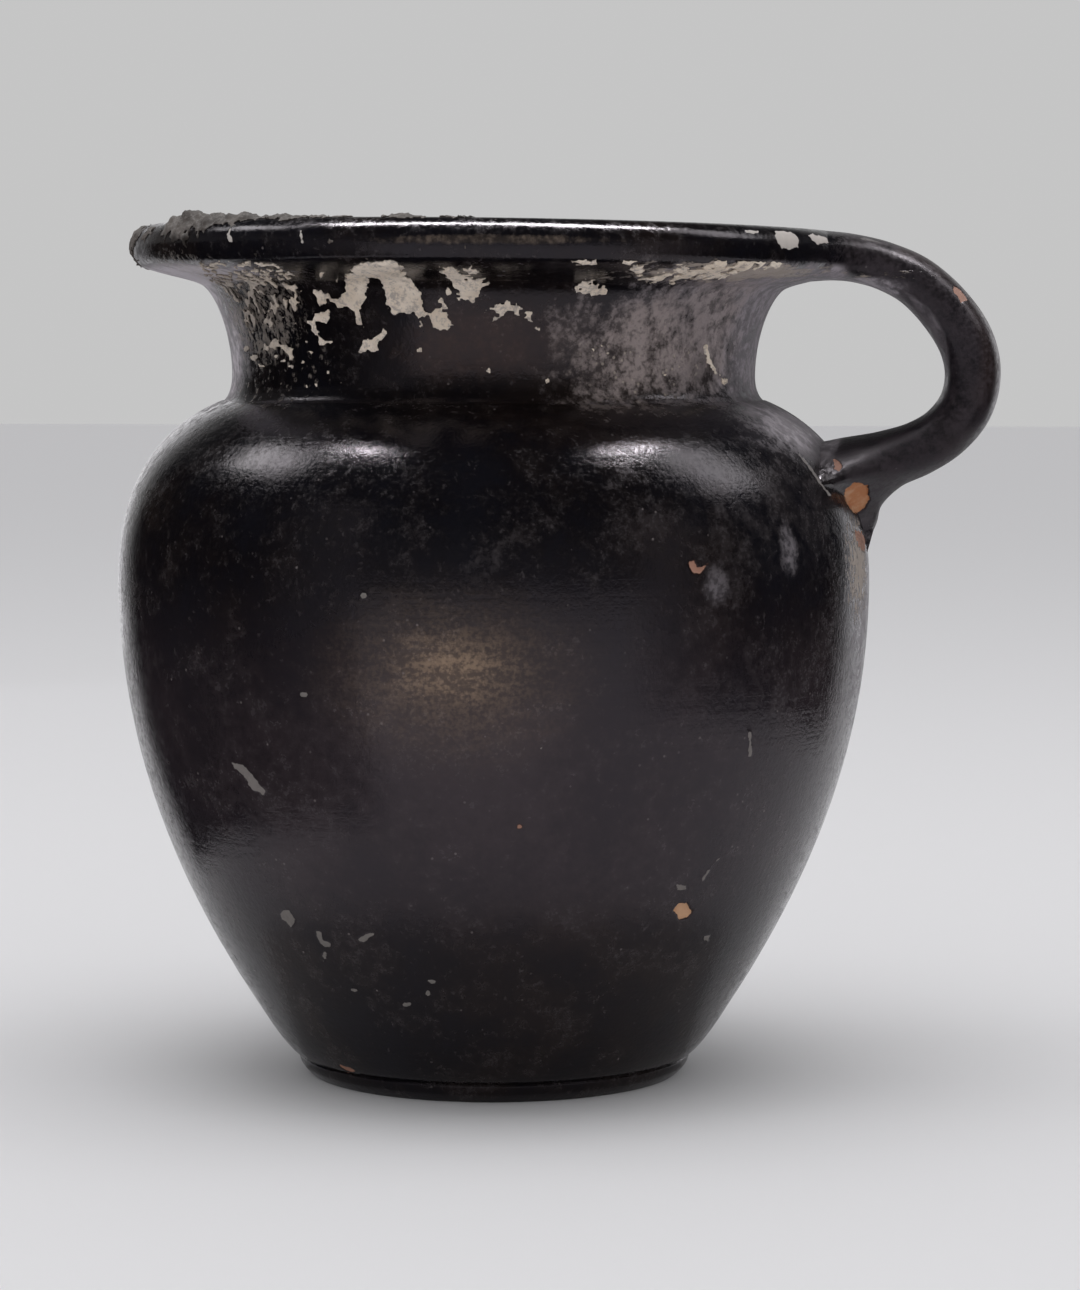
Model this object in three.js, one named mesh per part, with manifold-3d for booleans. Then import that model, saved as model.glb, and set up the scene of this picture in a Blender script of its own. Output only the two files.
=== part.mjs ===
// Black-glazed olpe: a small thrown jug with one strap handle, in millimetres, +Z up.
// The origin is the middle of the flat underside of the foot, and the handle points along +X.
import * as THREE from 'three';
import { mergeVertices } from 'three/addons/utils/BufferGeometryUtils.js';
import Module from 'manifold-3d';

const wasm = await Module();
wasm.setup();

// Driving dimensions: radii and heights from the axis and the underside of the foot.
const footRestRadius = 25.7;
const footTopRadius = 27.3;
const footHeight = 2.9;
const wallStartRadius = 27.7;
const heelRadius = 33.0;
const heelHeight = 9.8;
const bellyRadius = 51.95;
const bellyHeight = 68.6;
const creaseRadius = 37.6;
const creaseStep = 0.3;
const creaseHeight = 93.2;
const throatRadius = 36.1;
const throatHeight = 96.6;
const collarTopRadius = 40.2;
const collarTopHeight = 109.0;
const lipEdgeRadius = 48.3;
const lipEdgeHeight = 111.4;
const lipRadius = 49.6;
const lipBandHeight = 113.9;
const lipCrownRadius = 46.3;
const lipTopHeight = 117.0;

// The same inside the wall.
const wallThickness = 3.85;
const bellyInnerRadius = bellyRadius - wallThickness;
const floorHeight = 6.6;
const floorRadius = 18.0;
const heelInnerRadius = 28.6;
const heelInnerHeight = 9.6;
const creaseInnerRadius = 33.2;
const throatInnerRadius = 32.4;
const throatInnerHeight = 97.5;
const collarTopInnerRadius = 34.9;
const mouthRadius = 38.9;
const mouthHeight = 112.6;

// Gap that a piece keeps to the neighbour that it is cut to.
const gap = 0.3;

// How finely the wheel-thrown and the pulled shapes are divided.
const wheelSteps = 48;
const curveSteps = 6;
const strapSides = 24;
const strapStepsPerStation = 2;
const rimCrustSides = 12;
const rimCrustStepsPerStation = 3;

// Points closer than this are one point.
const mergeDistance = 1e-4;

// Strap handle, station by station from inside the lip to inside the shoulder.
// taper draws in the side of the section that faces down, to give the tongue at the lower end.
const strapStations = [
  { x: 43.0, z: 112.9, halfWidth: 21.0, halfThickness: 3.4, taper: 0 },
  { x: 46.5, z: 112.9, halfWidth: 16.2, halfThickness: 3.3, taper: 0 },
  { x: 50.0, z: 112.5, halfWidth: 11.4, halfThickness: 3.25, taper: 0 },
  { x: 54.0, z: 111.4, halfWidth: 8.9, halfThickness: 3.3, taper: 0 },
  { x: 58.2, z: 109.3, halfWidth: 8.2, halfThickness: 3.5, taper: 0 },
  { x: 62.0, z: 105.7, halfWidth: 7.9, halfThickness: 3.7, taper: 0 },
  { x: 64.8, z: 101.4, halfWidth: 7.8, halfThickness: 3.8, taper: 0 },
  { x: 65.8, z: 97.0, halfWidth: 7.8, halfThickness: 3.8, taper: 0 },
  { x: 64.9, z: 92.6, halfWidth: 7.9, halfThickness: 3.75, taper: 0 },
  { x: 62.2, z: 89.1, halfWidth: 8.1, halfThickness: 3.7, taper: 0 },
  { x: 58.6, z: 86.8, halfWidth: 8.6, halfThickness: 3.8, taper: 0.05 },
  { x: 54.45, z: 85.2, halfWidth: 9.7, halfThickness: 4.15, taper: 0.2 },
  { x: 50.7, z: 83.4, halfWidth: 13.0, halfThickness: 5.6, taper: 0.5 },
  { x: 48.1, z: 81.6, halfWidth: 17.0, halfThickness: 7.9, taper: 0.8 },
  { x: 45.4, z: 79.6, halfWidth: 18.5, halfThickness: 9.6, taper: 0.85 },
];
const upperRootEnd = 2.6;
const lowerRootStart = 10.4;
const strapSquareness = 3.0;

// Lime crust on the crown of the lip, from azimuth to azimuth in degrees.
const rimCrustStations = [
  { azimuth: 217, halfWidth: 1.2, halfHeight: 0.7 },
  { azimuth: 224, halfWidth: 2.2, halfHeight: 1.2 },
  { azimuth: 231, halfWidth: 2.8, halfHeight: 1.6 },
  { azimuth: 238, halfWidth: 2.8, halfHeight: 1.6 },
  { azimuth: 246, halfWidth: 2.4, halfHeight: 1.3 },
  { azimuth: 254, halfWidth: 1.9, halfHeight: 1.0 },
  { azimuth: 262, halfWidth: 1.2, halfHeight: 0.7 },
];
const rimCrustRadius = 46.9;

// Lime crust on the front of the neck: an arch with two legs, across and up from its middle.
const neckCrustAzimuth = 257;
const neckCrustHeight = 105.2;
const neckCrustThickness = 0.7;
const neckCrustOutline = [
  [-5.2, 2.9], [-6.3, -0.4], [-5.0, -2.6], [-3.4, -1.6], [-2.2, 1.4], [-0.3, 1.8],
  [1.4, -0.9], [4.0, -2.4], [6.2, -1.4], [4.6, 1.4], [3.2, 3.1], [0.2, 3.5], [-2.6, 3.4],
];

// Plane outline of a turned piece, from [radius, height]. A stretch is the end of a line, or the
// two handles and the end of a curve.
function outline(start, stretches) {
  const path = new THREE.Path();
  path.moveTo(...start);
  for (const stretch of stretches) {
    if (stretch.length === 2) {
      path.lineTo(...stretch);
    } else {
      path.bezierCurveTo(...stretch);
    }
  }
  return path.getPoints(curveSteps);
}

// Turns an outline about the Z axis.
function turned(points) {
  const geometry = new THREE.LatheGeometry(points, wheelSteps);
  geometry.rotateX(Math.PI / 2);
  return geometry;
}

// Moves every point of an outer outline away from the clay by a distance.
function grown(points, distance) {
  return points.map((point, index) => {
    const before = points[Math.max(index - 1, 0)];
    const after = points[Math.min(index + 1, points.length - 1)];
    const along = after.clone().sub(before).normalize();
    return new THREE.Vector2(point.x + along.y * distance, point.y - along.x * distance);
  });
}

// Closed solid of a geometry, without the flat triangles at its poles.
function toSolid(geometry) {
  const bare = geometry.clone();
  bare.deleteAttribute('normal');
  bare.deleteAttribute('uv');
  const merged = mergeVertices(bare, mergeDistance);
  const corners = merged.index.array;
  const kept = [];
  for (let i = 0; i < corners.length; i += 3) {
    const [a, b, c] = corners.slice(i, i + 3);
    if (a !== b && b !== c && c !== a) {
      kept.push(a, b, c);
    }
  }
  return new wasm.Manifold(new wasm.Mesh({
    numProp: 3,
    vertProperties: new Float32Array(merged.attributes.position.array),
    triVerts: new Uint32Array(kept),
  }));
}

function toGeometry(solid) {
  const mesh = solid.getMesh();
  const geometry = new THREE.BufferGeometry();
  geometry.setAttribute('position', new THREE.BufferAttribute(mesh.vertProperties, 3));
  geometry.setIndex(new THREE.BufferAttribute(mesh.triVerts, 1));
  return geometry;
}

// Outer outlines of the wall, from the foot upwards, each starting where the last one ended.
const bellyOutside = outline([wallStartRadius, footHeight], [
  [29.4, 4.1, 31.5, 7.4, heelRadius, heelHeight],
  [42.7, 24.7, bellyRadius, 44.2, bellyRadius, bellyHeight],
  [bellyRadius, 81.1, 46.7, 89.4, creaseRadius, creaseHeight],
]);
const neckOutside = outline([creaseRadius - creaseStep, creaseHeight], [
  [36.7, 93.6, throatRadius, 94.9, throatRadius, throatHeight],
  [throatRadius, 102.4, 38.3, 107.9, collarTopRadius, collarTopHeight],
]);
const lipOutside = outline([collarTopRadius, collarTopHeight], [
  [41.6, 109.8, 45.4, 110.3, lipEdgeRadius, lipEdgeHeight],
  [49.2, 111.8, lipRadius, 112.6, lipRadius, lipBandHeight],
  [lipRadius, 115.7, 48.3, lipTopHeight, lipCrownRadius, lipTopHeight],
]);

// Inner outlines, from the top downwards.
const lipInside = outline([lipCrownRadius, lipTopHeight], [
  [43.9, lipTopHeight, 41.4, 115.3, mouthRadius, mouthHeight],
  [37.6, 111.3, 36.0, 110.2, collarTopInnerRadius, collarTopHeight],
]);
const neckInside = outline([collarTopInnerRadius, collarTopHeight], [
  [33.2, 106.0, throatInnerRadius, 101.5, throatInnerRadius, throatInnerHeight],
  [throatInnerRadius, 95.5, 32.6, 94.2, creaseInnerRadius, creaseHeight],
]);
const bellyInside = outline([creaseInnerRadius, creaseHeight], [
  [41.5, 88.2, bellyInnerRadius, 79.2, bellyInnerRadius, bellyHeight],
  [bellyInnerRadius, 45.0, 39.5, 27.5, heelInnerRadius, heelInnerHeight],
  [27.0, 7.2, 24.0, floorHeight, floorRadius, floorHeight],
]);

function footGeometry() {
  const side = outline([footRestRadius, 0], [
    [26.2, 0.4, footTopRadius, 1.3, footTopRadius, footHeight],
  ]);
  return turned([new THREE.Vector2(0, 0), ...side, new THREE.Vector2(0, footHeight)]);
}

function bodyGeometry() {
  return turned([
    new THREE.Vector2(0, footHeight),
    ...bellyOutside,
    ...bellyInside,
    new THREE.Vector2(0, floorHeight),
  ]);
}

function neckGeometry() {
  return turned([...neckOutside, ...neckInside, neckOutside[0]]);
}

function lipGeometry() {
  return turned([...lipOutside, ...lipInside.slice(1), lipOutside[0]]);
}

// A plug that fills the wall and all inside it, and stands out from the wall by a distance.
function wallPlug(outside, distance) {
  const skin = grown(outside, distance);
  const low = new THREE.Vector2(0, skin[0].y);
  const high = new THREE.Vector2(0, skin[skin.length - 1].y);
  return toSolid(turned([low, ...skin, high]));
}

// Smooth values of one field of a list of stations.
function smooth(stations, field, place) {
  const values = stations.map((station) => new THREE.Vector3(station[field], 0, 0));
  return new THREE.CatmullRomCurve3(values).getPoint(place / (stations.length - 1)).x;
}

// One stretch of the strap, with both ends closed flat.
function strapStretch(from, to) {
  const route = new THREE.CatmullRomCurve3(
    strapStations.map((station) => new THREE.Vector3(station.x, 0, station.z)),
  );
  const last = strapStations.length - 1;
  const steps = Math.round((to - from) * strapStepsPerStation);
  const geometry = new THREE.CylinderGeometry(1, 1, 1, strapSides, steps);
  const position = geometry.attributes.position;
  for (let i = 0; i < position.count; i += 1) {
    const place = from + (to - from) * (position.getY(i) + 0.5);
    const centre = route.getPoint(place / last);
    const along = route.getTangent(place / last);
    const across = rounded(position.getX(i), strapSquareness);
    const inward = rounded(position.getZ(i), strapSquareness);
    const drawnIn = 1 - smooth(strapStations, 'taper', place) * Math.max(0, -inward) ** 2;
    const thickness = inward * smooth(strapStations, 'halfThickness', place);
    position.setXYZ(
      i,
      centre.x + along.z * thickness,
      across * drawnIn * smooth(strapStations, 'halfWidth', place),
      centre.z - along.x * thickness,
    );
  }
  return geometry;
}

// Squares a circle's coordinate off towards a rounded rectangle.
function rounded(value, squareness) {
  return Math.sign(value) * Math.abs(value) ** (2 / squareness);
}

function handleGeometry() {
  return strapStretch(upperRootEnd, lowerRootStart);
}

function upperRootGeometry() {
  const lipPlug = wallPlug([...neckOutside, ...lipOutside.slice(1)], gap);
  return toGeometry(toSolid(strapStretch(0, upperRootEnd)).subtract(lipPlug));
}

function lowerRootGeometry() {
  const shoulderPlug = wallPlug(bellyOutside, gap);
  const end = strapStations.length - 1;
  return toGeometry(toSolid(strapStretch(lowerRootStart, end)).subtract(shoulderPlug));
}

// Low lumpy bank of crust that follows the crown of the lip.
function rimCrustGeometry() {
  const last = rimCrustStations.length - 1;
  const steps = last * rimCrustStepsPerStation;
  const geometry = new THREE.CylinderGeometry(1, 1, 1, rimCrustSides, steps);
  const position = geometry.attributes.position;
  for (let i = 0; i < position.count; i += 1) {
    const place = last * (position.getY(i) + 0.5);
    const azimuth = THREE.MathUtils.degToRad(smooth(rimCrustStations, 'azimuth', place));
    const across = position.getX(i) * smooth(rimCrustStations, 'halfWidth', place);
    const up = position.getZ(i) * smooth(rimCrustStations, 'halfHeight', place);
    const radius = rimCrustRadius + across;
    position.setXYZ(
      i,
      radius * Math.cos(azimuth),
      radius * Math.sin(azimuth),
      lipTopHeight + up,
    );
  }
  return toGeometry(toSolid(geometry).subtract(wallPlug(lipOutside, gap)));
}

// Thin scab of crust that follows the curve of the neck. Its outline is drawn out towards
// azimuth -90 and then turned to its place.
function neckCrustGeometry() {
  const drawnAzimuth = -90;
  const corners = neckCrustOutline.map(([across, up]) => new THREE.Vector2(across, up));
  const scab = new THREE.Shape(corners);
  const geometry = new THREE.ExtrudeGeometry(scab, { depth: lipRadius, bevelEnabled: false });
  geometry.rotateX(Math.PI / 2);
  geometry.rotateZ(THREE.MathUtils.degToRad(neckCrustAzimuth - drawnAzimuth));
  geometry.translate(0, 0, neckCrustHeight);
  const outside = wallPlug(neckOutside, gap + neckCrustThickness);
  const inside = wallPlug(neckOutside, gap);
  return toGeometry(toSolid(geometry).intersect(outside).subtract(inside));
}

// Finishes of the fired clay and of the crust.
const blackGlaze = { color: 0x17151a, roughness: 0.3, metalness: 0 };
const limeCrust = { color: 0xb9ad9c, roughness: 0.95, metalness: 0 };

function piece(name, geometry, look) {
  const mesh = new THREE.Mesh(geometry, new THREE.MeshStandardMaterial(look));
  mesh.name = name;
  return mesh;
}

const olpe = new THREE.Group();
olpe.add(
  piece('foot', footGeometry(), blackGlaze),
  piece('body', bodyGeometry(), blackGlaze),
  piece('neck', neckGeometry(), blackGlaze),
  piece('lip', lipGeometry(), blackGlaze),
  piece('upper_handle_root', upperRootGeometry(), blackGlaze),
  piece('handle', handleGeometry(), blackGlaze),
  piece('lower_handle_root', lowerRootGeometry(), blackGlaze),
  piece('rim_crust', rimCrustGeometry(), limeCrust),
  piece('neck_crust', neckCrustGeometry(), limeCrust),
);

export default olpe;
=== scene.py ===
"""Dresses a black-glazed olpe: a thrown jug with one strap handle and lime crust under its lip."""
import logging
import math
from bisect import bisect_left
from dataclasses import dataclass, field
from enum import Enum
from typing import Any, Callable, Dict, List, Optional, Sequence, Tuple, Union

import bmesh
import bpy
from mathutils import Matrix, Vector, noise
from mathutils.geometry import interpolate_bezier


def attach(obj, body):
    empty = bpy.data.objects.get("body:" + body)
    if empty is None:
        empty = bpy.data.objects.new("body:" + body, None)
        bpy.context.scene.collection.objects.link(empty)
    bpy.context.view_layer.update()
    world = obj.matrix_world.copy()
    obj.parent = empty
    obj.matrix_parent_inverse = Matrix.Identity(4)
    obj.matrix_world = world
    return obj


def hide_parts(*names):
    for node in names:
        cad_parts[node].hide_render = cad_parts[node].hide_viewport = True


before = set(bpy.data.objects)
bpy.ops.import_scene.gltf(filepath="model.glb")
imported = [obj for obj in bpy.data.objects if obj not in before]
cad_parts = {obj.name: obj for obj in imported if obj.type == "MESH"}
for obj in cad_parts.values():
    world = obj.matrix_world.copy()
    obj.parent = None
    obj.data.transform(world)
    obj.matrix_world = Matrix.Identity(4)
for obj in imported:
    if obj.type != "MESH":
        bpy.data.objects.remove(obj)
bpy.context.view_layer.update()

MM = 0.001
SHARP_DEG = 48.0
COOL = (0.97, 0.95, 1.0)
LOG = logging.getLogger("olpe")

Point2 = Tuple[float, float]
Value = Union["Link", float]
Colour = Tuple[float, float, float]
Box = Tuple[float, float, float, float]


class Slot(Enum):
    """Material slots of the record."""

    GLAZE = "black_glaze"
    LIME = "lime_crust"


class Paint(Enum):
    """What an outline traced in the picture leaves on the surface inside it."""

    CLAY = "clay_chip"
    SCRAPE = "pink_scrape"
    FLAKE = "lime_fleck"


@dataclass(frozen=True)
class PictureCamera:
    """The camera of the picture: where it stands and how a point of the jug falls in the frame.

    Pixels count from the top left corner of a frame of width by height.
    """

    width: int = 1080
    height: int = 1290
    lens_mm: float = 105.7
    film_mm: float = 36.0
    distance: float = 525.0 * MM
    eye_height: float = 100.1 * MM
    azimuth_deg: float = -81.5
    tilt_deg: float = 4.45
    turn_deg: float = 0.696

    @property
    def pixels_per_unit(self) -> float:
        """Pixels across the frame for one unit sideways at one unit of depth."""
        return self.lens_mm / self.film_mm * self.height

    @property
    def place(self) -> Vector:
        """Where the camera stands."""
        azimuth = math.radians(self.azimuth_deg)
        ahead = Vector((math.cos(azimuth), math.sin(azimuth), 0.0))
        return ahead * self.distance + Vector((0, 0, self.eye_height))

    def axes(self) -> Tuple[Vector, Vector, Vector]:
        """Works out the camera's own directions.

        Returns:
            The directions to the right, up and forward, each of length one.
        """
        azimuth = math.radians(self.azimuth_deg)
        turn = math.radians(self.turn_deg)
        tilt = math.radians(self.tilt_deg)
        towards = Vector((-math.cos(azimuth), -math.sin(azimuth), 0.0))
        level_right = Vector((-math.sin(azimuth), math.cos(azimuth), 0.0))
        level = towards * math.cos(turn) + level_right * math.sin(turn)
        right = level_right * math.cos(turn) - towards * math.sin(turn)
        rise = Vector((0, 0, 1))
        forward = level * math.cos(tilt) - rise * math.sin(tilt)
        up = rise * math.cos(tilt) + level * math.sin(tilt)
        return right, up, forward

    def build(self) -> bpy.types.Object:
        """Makes the scene's camera.

        Returns:
            The camera object.
        """
        data = bpy.data.cameras.new("picture_camera")
        data.lens = self.lens_mm
        data.sensor_width = self.film_mm
        data.sensor_height = self.film_mm
        data.sensor_fit = "AUTO"
        data.clip_start = 0.01
        camera = bpy.data.objects.new("picture_camera", data)
        right, up, forward = self.axes()
        turned = Matrix((right, up, -forward)).transposed()
        camera.matrix_world = Matrix.Translation(self.place) @ turned.to_4x4()
        bpy.context.scene.collection.objects.link(camera)
        bpy.context.scene.camera = camera
        return camera


class Projector:
    """Turns points of the jug into pixels of the picture, quickly."""

    def __init__(self, camera: PictureCamera) -> None:
        """Keeps the camera's place and directions.

        Args:
            camera: The picture's camera.
        """
        self.place = camera.place
        self.right, self.up, self.forward = camera.axes()
        self.scale = camera.pixels_per_unit
        self.middle = (camera.width / 2, camera.height / 2)

    def pixel(self, point: Vector) -> Point2:
        """Finds where a point falls in the picture.

        Args:
            point: A point of the jug.

        Returns:
            Its pixel, across and down.
        """
        ray = point - self.place
        depth = ray.dot(self.forward)
        across = self.middle[0] + self.scale * ray.dot(self.right) / depth
        down = self.middle[1] - self.scale * ray.dot(self.up) / depth
        return across, down

    def faces(self, point: Vector, normal: Vector) -> bool:
        """Says whether a surface point looks towards the camera."""
        grazing = 0.05
        return (self.place - point).normalized().dot(normal) > grazing


@dataclass(frozen=True)
class Outline:
    """A closed outline traced in the picture, in its pixels."""

    points: Tuple[Point2, ...]

    def box(self, margin: float) -> Box:
        """Gives the outline's bounds, grown by a margin in pixels."""
        across = [x for x, _ in self.points]
        down = [y for _, y in self.points]
        return min(across) - margin, min(down) - margin, max(across) + margin, max(down) + margin

    def depth(self, x: float, y: float) -> float:
        """Measures how far inside the outline a pixel lies.

        Args:
            x: Pixel across.
            y: Pixel down.

        Returns:
            The distance to the edge in pixels, negative outside.
        """
        inside = False
        nearest = float("inf")
        for (x0, y0), (x1, y1) in zip(self.points, self.points[1:] + self.points[:1]):
            if (y0 > y) != (y1 > y) and x < (x1 - x0) * (y - y0) / (y1 - y0) + x0:
                inside = not inside
            run_x, run_y = x1 - x0, y1 - y0
            length = run_x * run_x + run_y * run_y
            along = max(0.0, min(1.0, ((x - x0) * run_x + (y - y0) * run_y) / length))
            gap = math.hypot(x - x0 - along * run_x, y - y0 - along * run_y)
            nearest = min(nearest, gap)
        return nearest if inside else -nearest


def in_box(box: Box, x: float, y: float) -> bool:
    """Says whether a pixel lies in a box."""
    return box[0] < x < box[2] and box[1] < y < box[3]


def spot(x: float, y: float, radius: float, height: Optional[float] = None) -> Outline:
    """Makes a round or oval outline.

    Args:
        x: Middle, in pixels across.
        y: Middle, in pixels down.
        radius: Half its width.
        height: Half its height, or the same as radius.

    Returns:
        The outline.
    """
    tall = radius if height is None else height
    corners = 9
    turns = [2 * math.pi * i / corners for i in range(corners)]
    return Outline(tuple((x + radius * math.cos(t), y + tall * math.sin(t)) for t in turns))


def stroke(points: Sequence[Point2], width: float) -> Outline:
    """Makes the outline of a thin line.

    Args:
        points: The line's points, in pixels.
        width: Its width, in pixels.

    Returns:
        The outline.
    """
    one_side = [(x - width / 2, y) for x, y in points]
    other_side = [(x + width / 2, y) for x, y in reversed(points)]
    return Outline(tuple(one_side + other_side))


@dataclass(frozen=True)
class Patch:
    """An oval on the unrolled wall.

    Its middle and half its size count in degrees to the right of the camera's side, and in
    millimetres of height.
    """

    turn: float
    height: float
    half_turn: float
    half_height: float


class Place(Enum):
    """Where the wear, the film, the lime, the painted reflections and the painted shade lie."""

    STRAP = Patch(81.5, 98, 25, 26)
    LIP_END = Patch(-88, 114, 26, 7)
    DUSTY_SIDE = Patch(50, 79, 30, 12)
    # Painted reflection: a warm light mirrored on the front of the belly, its halo and its core.
    GOLDEN_REFLECTION_HALO = Patch(-6, 59, 25, 15)
    GOLDEN_REFLECTION_CORE = Patch(-5, 60.0, 12, 6.2)
    GREY_SPOT = Patch(-1.1, 73.9, 6, 5)
    RED_NECK = Patch(-4, 101, 24, 6.5)
    # Painted reflection of a warm light along the lip's band, with speckled wear.
    BAND_WEAR_AND_REFLECTION = Patch(-1, 113.9, 20, 0.75)
    NECK_RIGHT = Patch(64, 103.5, 50, 13)
    NECK_SOIL = Patch(40, 101, 34, 12)
    NECK_BROWN = Patch(30, 100.5, 21, 9.5)
    NECK_BLUE = Patch(50, 97.4, 8, 3.0)
    NECK_WARM = Patch(42, 101, 24, 12)
    NECK_LEFT = Patch(-86, 102, 24, 15)
    UNDER_LIP_LEFT = Patch(-84, 110.4, 48, 2.1)
    UNDER_LIP_RIGHT = Patch(62, 109.9, 42, 1.9)
    BACK_RIGHT = Patch(142, 103, 34, 9)
    BACK_RIGHT_END = Patch(142, 103, 37, 90)
    BACK_LEFT = Patch(-142, 104, 32, 8)
    BACK_LEFT_END = Patch(-142, 104, 37, 90)
    SHOULDER = Patch(72, 89.9, 28, 5.6)
    RIGHT_EDGE = Patch(80, 62, 16, 19)
    SMEAR = Patch(33.2, 70.1, 3.0, 3.0)
    SMEAR_HIGH = Patch(48.2, 74.2, 2.6, 4.6)
    CREASE = Patch(56, 93.3, 42, 0.8)
    LIME_NET = Patch(-58, 105.2, 19, 8.0)
    LIME_LEDGE = Patch(46, 110.2, 34, 1.7)
    LIME_LOW_LEFT = Patch(-58, 98, 26, 8)
    LIME_LOW_RIGHT = Patch(33, 98, 22, 6)
    LIME_SIDE = Patch(72, 71, 9, 9)
    OLD_CRUST = Patch(-62, 106, 24, 14)
    # Painted shade on the band's front under the lip's crown, over soil that is dark too.
    CROWN_SHADE = Patch(-46, 113.5, 21, 5)


# Lime scabs on the neck and under the lip, traced in the picture.
SCABS: Dict[str, Outline] = {
    "arch": Outline((
        (361, 264), (373, 261), (398, 260), (406, 272), (414, 280), (419, 288), (424, 300),
        (428, 312), (422, 326), (417, 318), (414, 313), (406, 315), (400, 312), (394, 317),
        (390, 312), (387, 300), (383, 286), (378, 277), (370, 276), (367, 286), (366, 300),
        (363, 310), (363, 324), (358, 325), (354, 314), (350, 308), (338, 307), (331, 300),
        (339, 295), (345, 290), (344, 278), (351, 269))),
    "arch_foot": Outline((
        (430, 316), (434, 310), (447, 311), (451, 318), (456, 326), (450, 329), (442, 330),
        (434, 326))),
    "second": Outline((
        (439, 268), (449, 265), (459, 270), (465, 277), (489, 282), (481, 289), (477, 297),
        (474, 303), (468, 300), (460, 299), (456, 289), (449, 280), (443, 274))),
    "second_top": Outline(((460, 268), (468, 267), (478, 269), (478, 274), (467, 274))),
    "grey_bar": Outline((
        (482, 311), (493, 307), (500, 302), (510, 302), (517, 305), (527, 309), (534, 311),
        (532, 322), (522, 318), (507, 311), (498, 321), (488, 320))),
    "tan_hook": Outline((
        (360, 352), (365, 341), (370, 338), (377, 335), (385, 329), (387, 333), (382, 341),
        (378, 346), (381, 353), (371, 353))),
    "lip_streak": Outline((
        (615, 263), (628, 260), (642, 261), (644, 271), (660, 275), (672, 271), (677, 266),
        (687, 264), (689, 270), (701, 268), (711, 261), (730, 259), (759, 252), (769, 247),
        (774, 254), (790, 260), (780, 267), (759, 269), (735, 273), (718, 278), (706, 280),
        (687, 279), (672, 284), (653, 282), (638, 280), (633, 272), (626, 265))),
    "short_stroke": Outline(((569, 261), (580, 259), (596, 260), (596, 263), (577, 264))),
    "grey_patch": Outline((
        (575, 283), (585, 280), (599, 282), (611, 289), (607, 294), (590, 297), (577, 293))),
    "scratch": stroke(((705, 345), (707, 358), (712, 368), (719, 376), (725, 384)), 4.4),
    "left_spur": Outline(((314, 290), (321, 292), (329, 295), (324, 304), (319, 307), (315, 298))),
    "left_ring": Outline((
        (305, 321), (312, 319), (316, 312), (324, 310), (330, 312), (329, 320), (322, 323),
        (316, 323), (319, 331), (322, 339), (332, 342), (331, 345), (321, 344), (314, 333),
        (311, 325))),
    "left_low": Outline((
        (272, 339), (279, 337), (283, 345), (293, 349), (295, 357), (291, 359), (287, 351),
        (279, 347), (263, 351), (262, 345), (269, 344))),
}
THIN_SCABS = ("lip_streak", "grey_patch", "grey_bar")
SCAB_SPOTS: Tuple[Tuple[float, float, float], ...] = (
    (489, 370, 3.0), (482, 368, 2.0), (547, 381, 2.9), (420, 350, 3.2), (537, 328, 3.0),
    (522, 365, 1.6), (419, 350, 3.0), (321, 275, 3.0), (307, 341, 2.2), (329, 372, 2.2),
    (448, 292, 4.0), (441, 300, 3.4), (445, 307, 3.0), (337, 280, 2.0), (312, 352, 2.4),
    (255, 357, 3.6), (262, 366, 3.0), (277, 357, 2.2), (283, 361, 2.4), (291, 367, 2.0),
    (316, 385, 2.0), (307, 387, 1.6), (341, 383, 2.4), (303, 363, 2.2), (247, 349, 2.6),
    (593, 350, 2.4), (601, 346, 2.0), (608, 353, 2.4), (592, 357, 2.0), (665, 375, 2.2),
    (724, 382, 3.4),
)

# Where the crust lies thick and broken, with many holes.
BROKEN_CRUST = Outline((
    (198, 262), (251, 260), (275, 265), (290, 271), (300, 284), (304, 296), (300, 312),
    (295, 321), (283, 321), (279, 331), (263, 334), (249, 334), (243, 317), (233, 300),
    (222, 286), (208, 276)))

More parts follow.
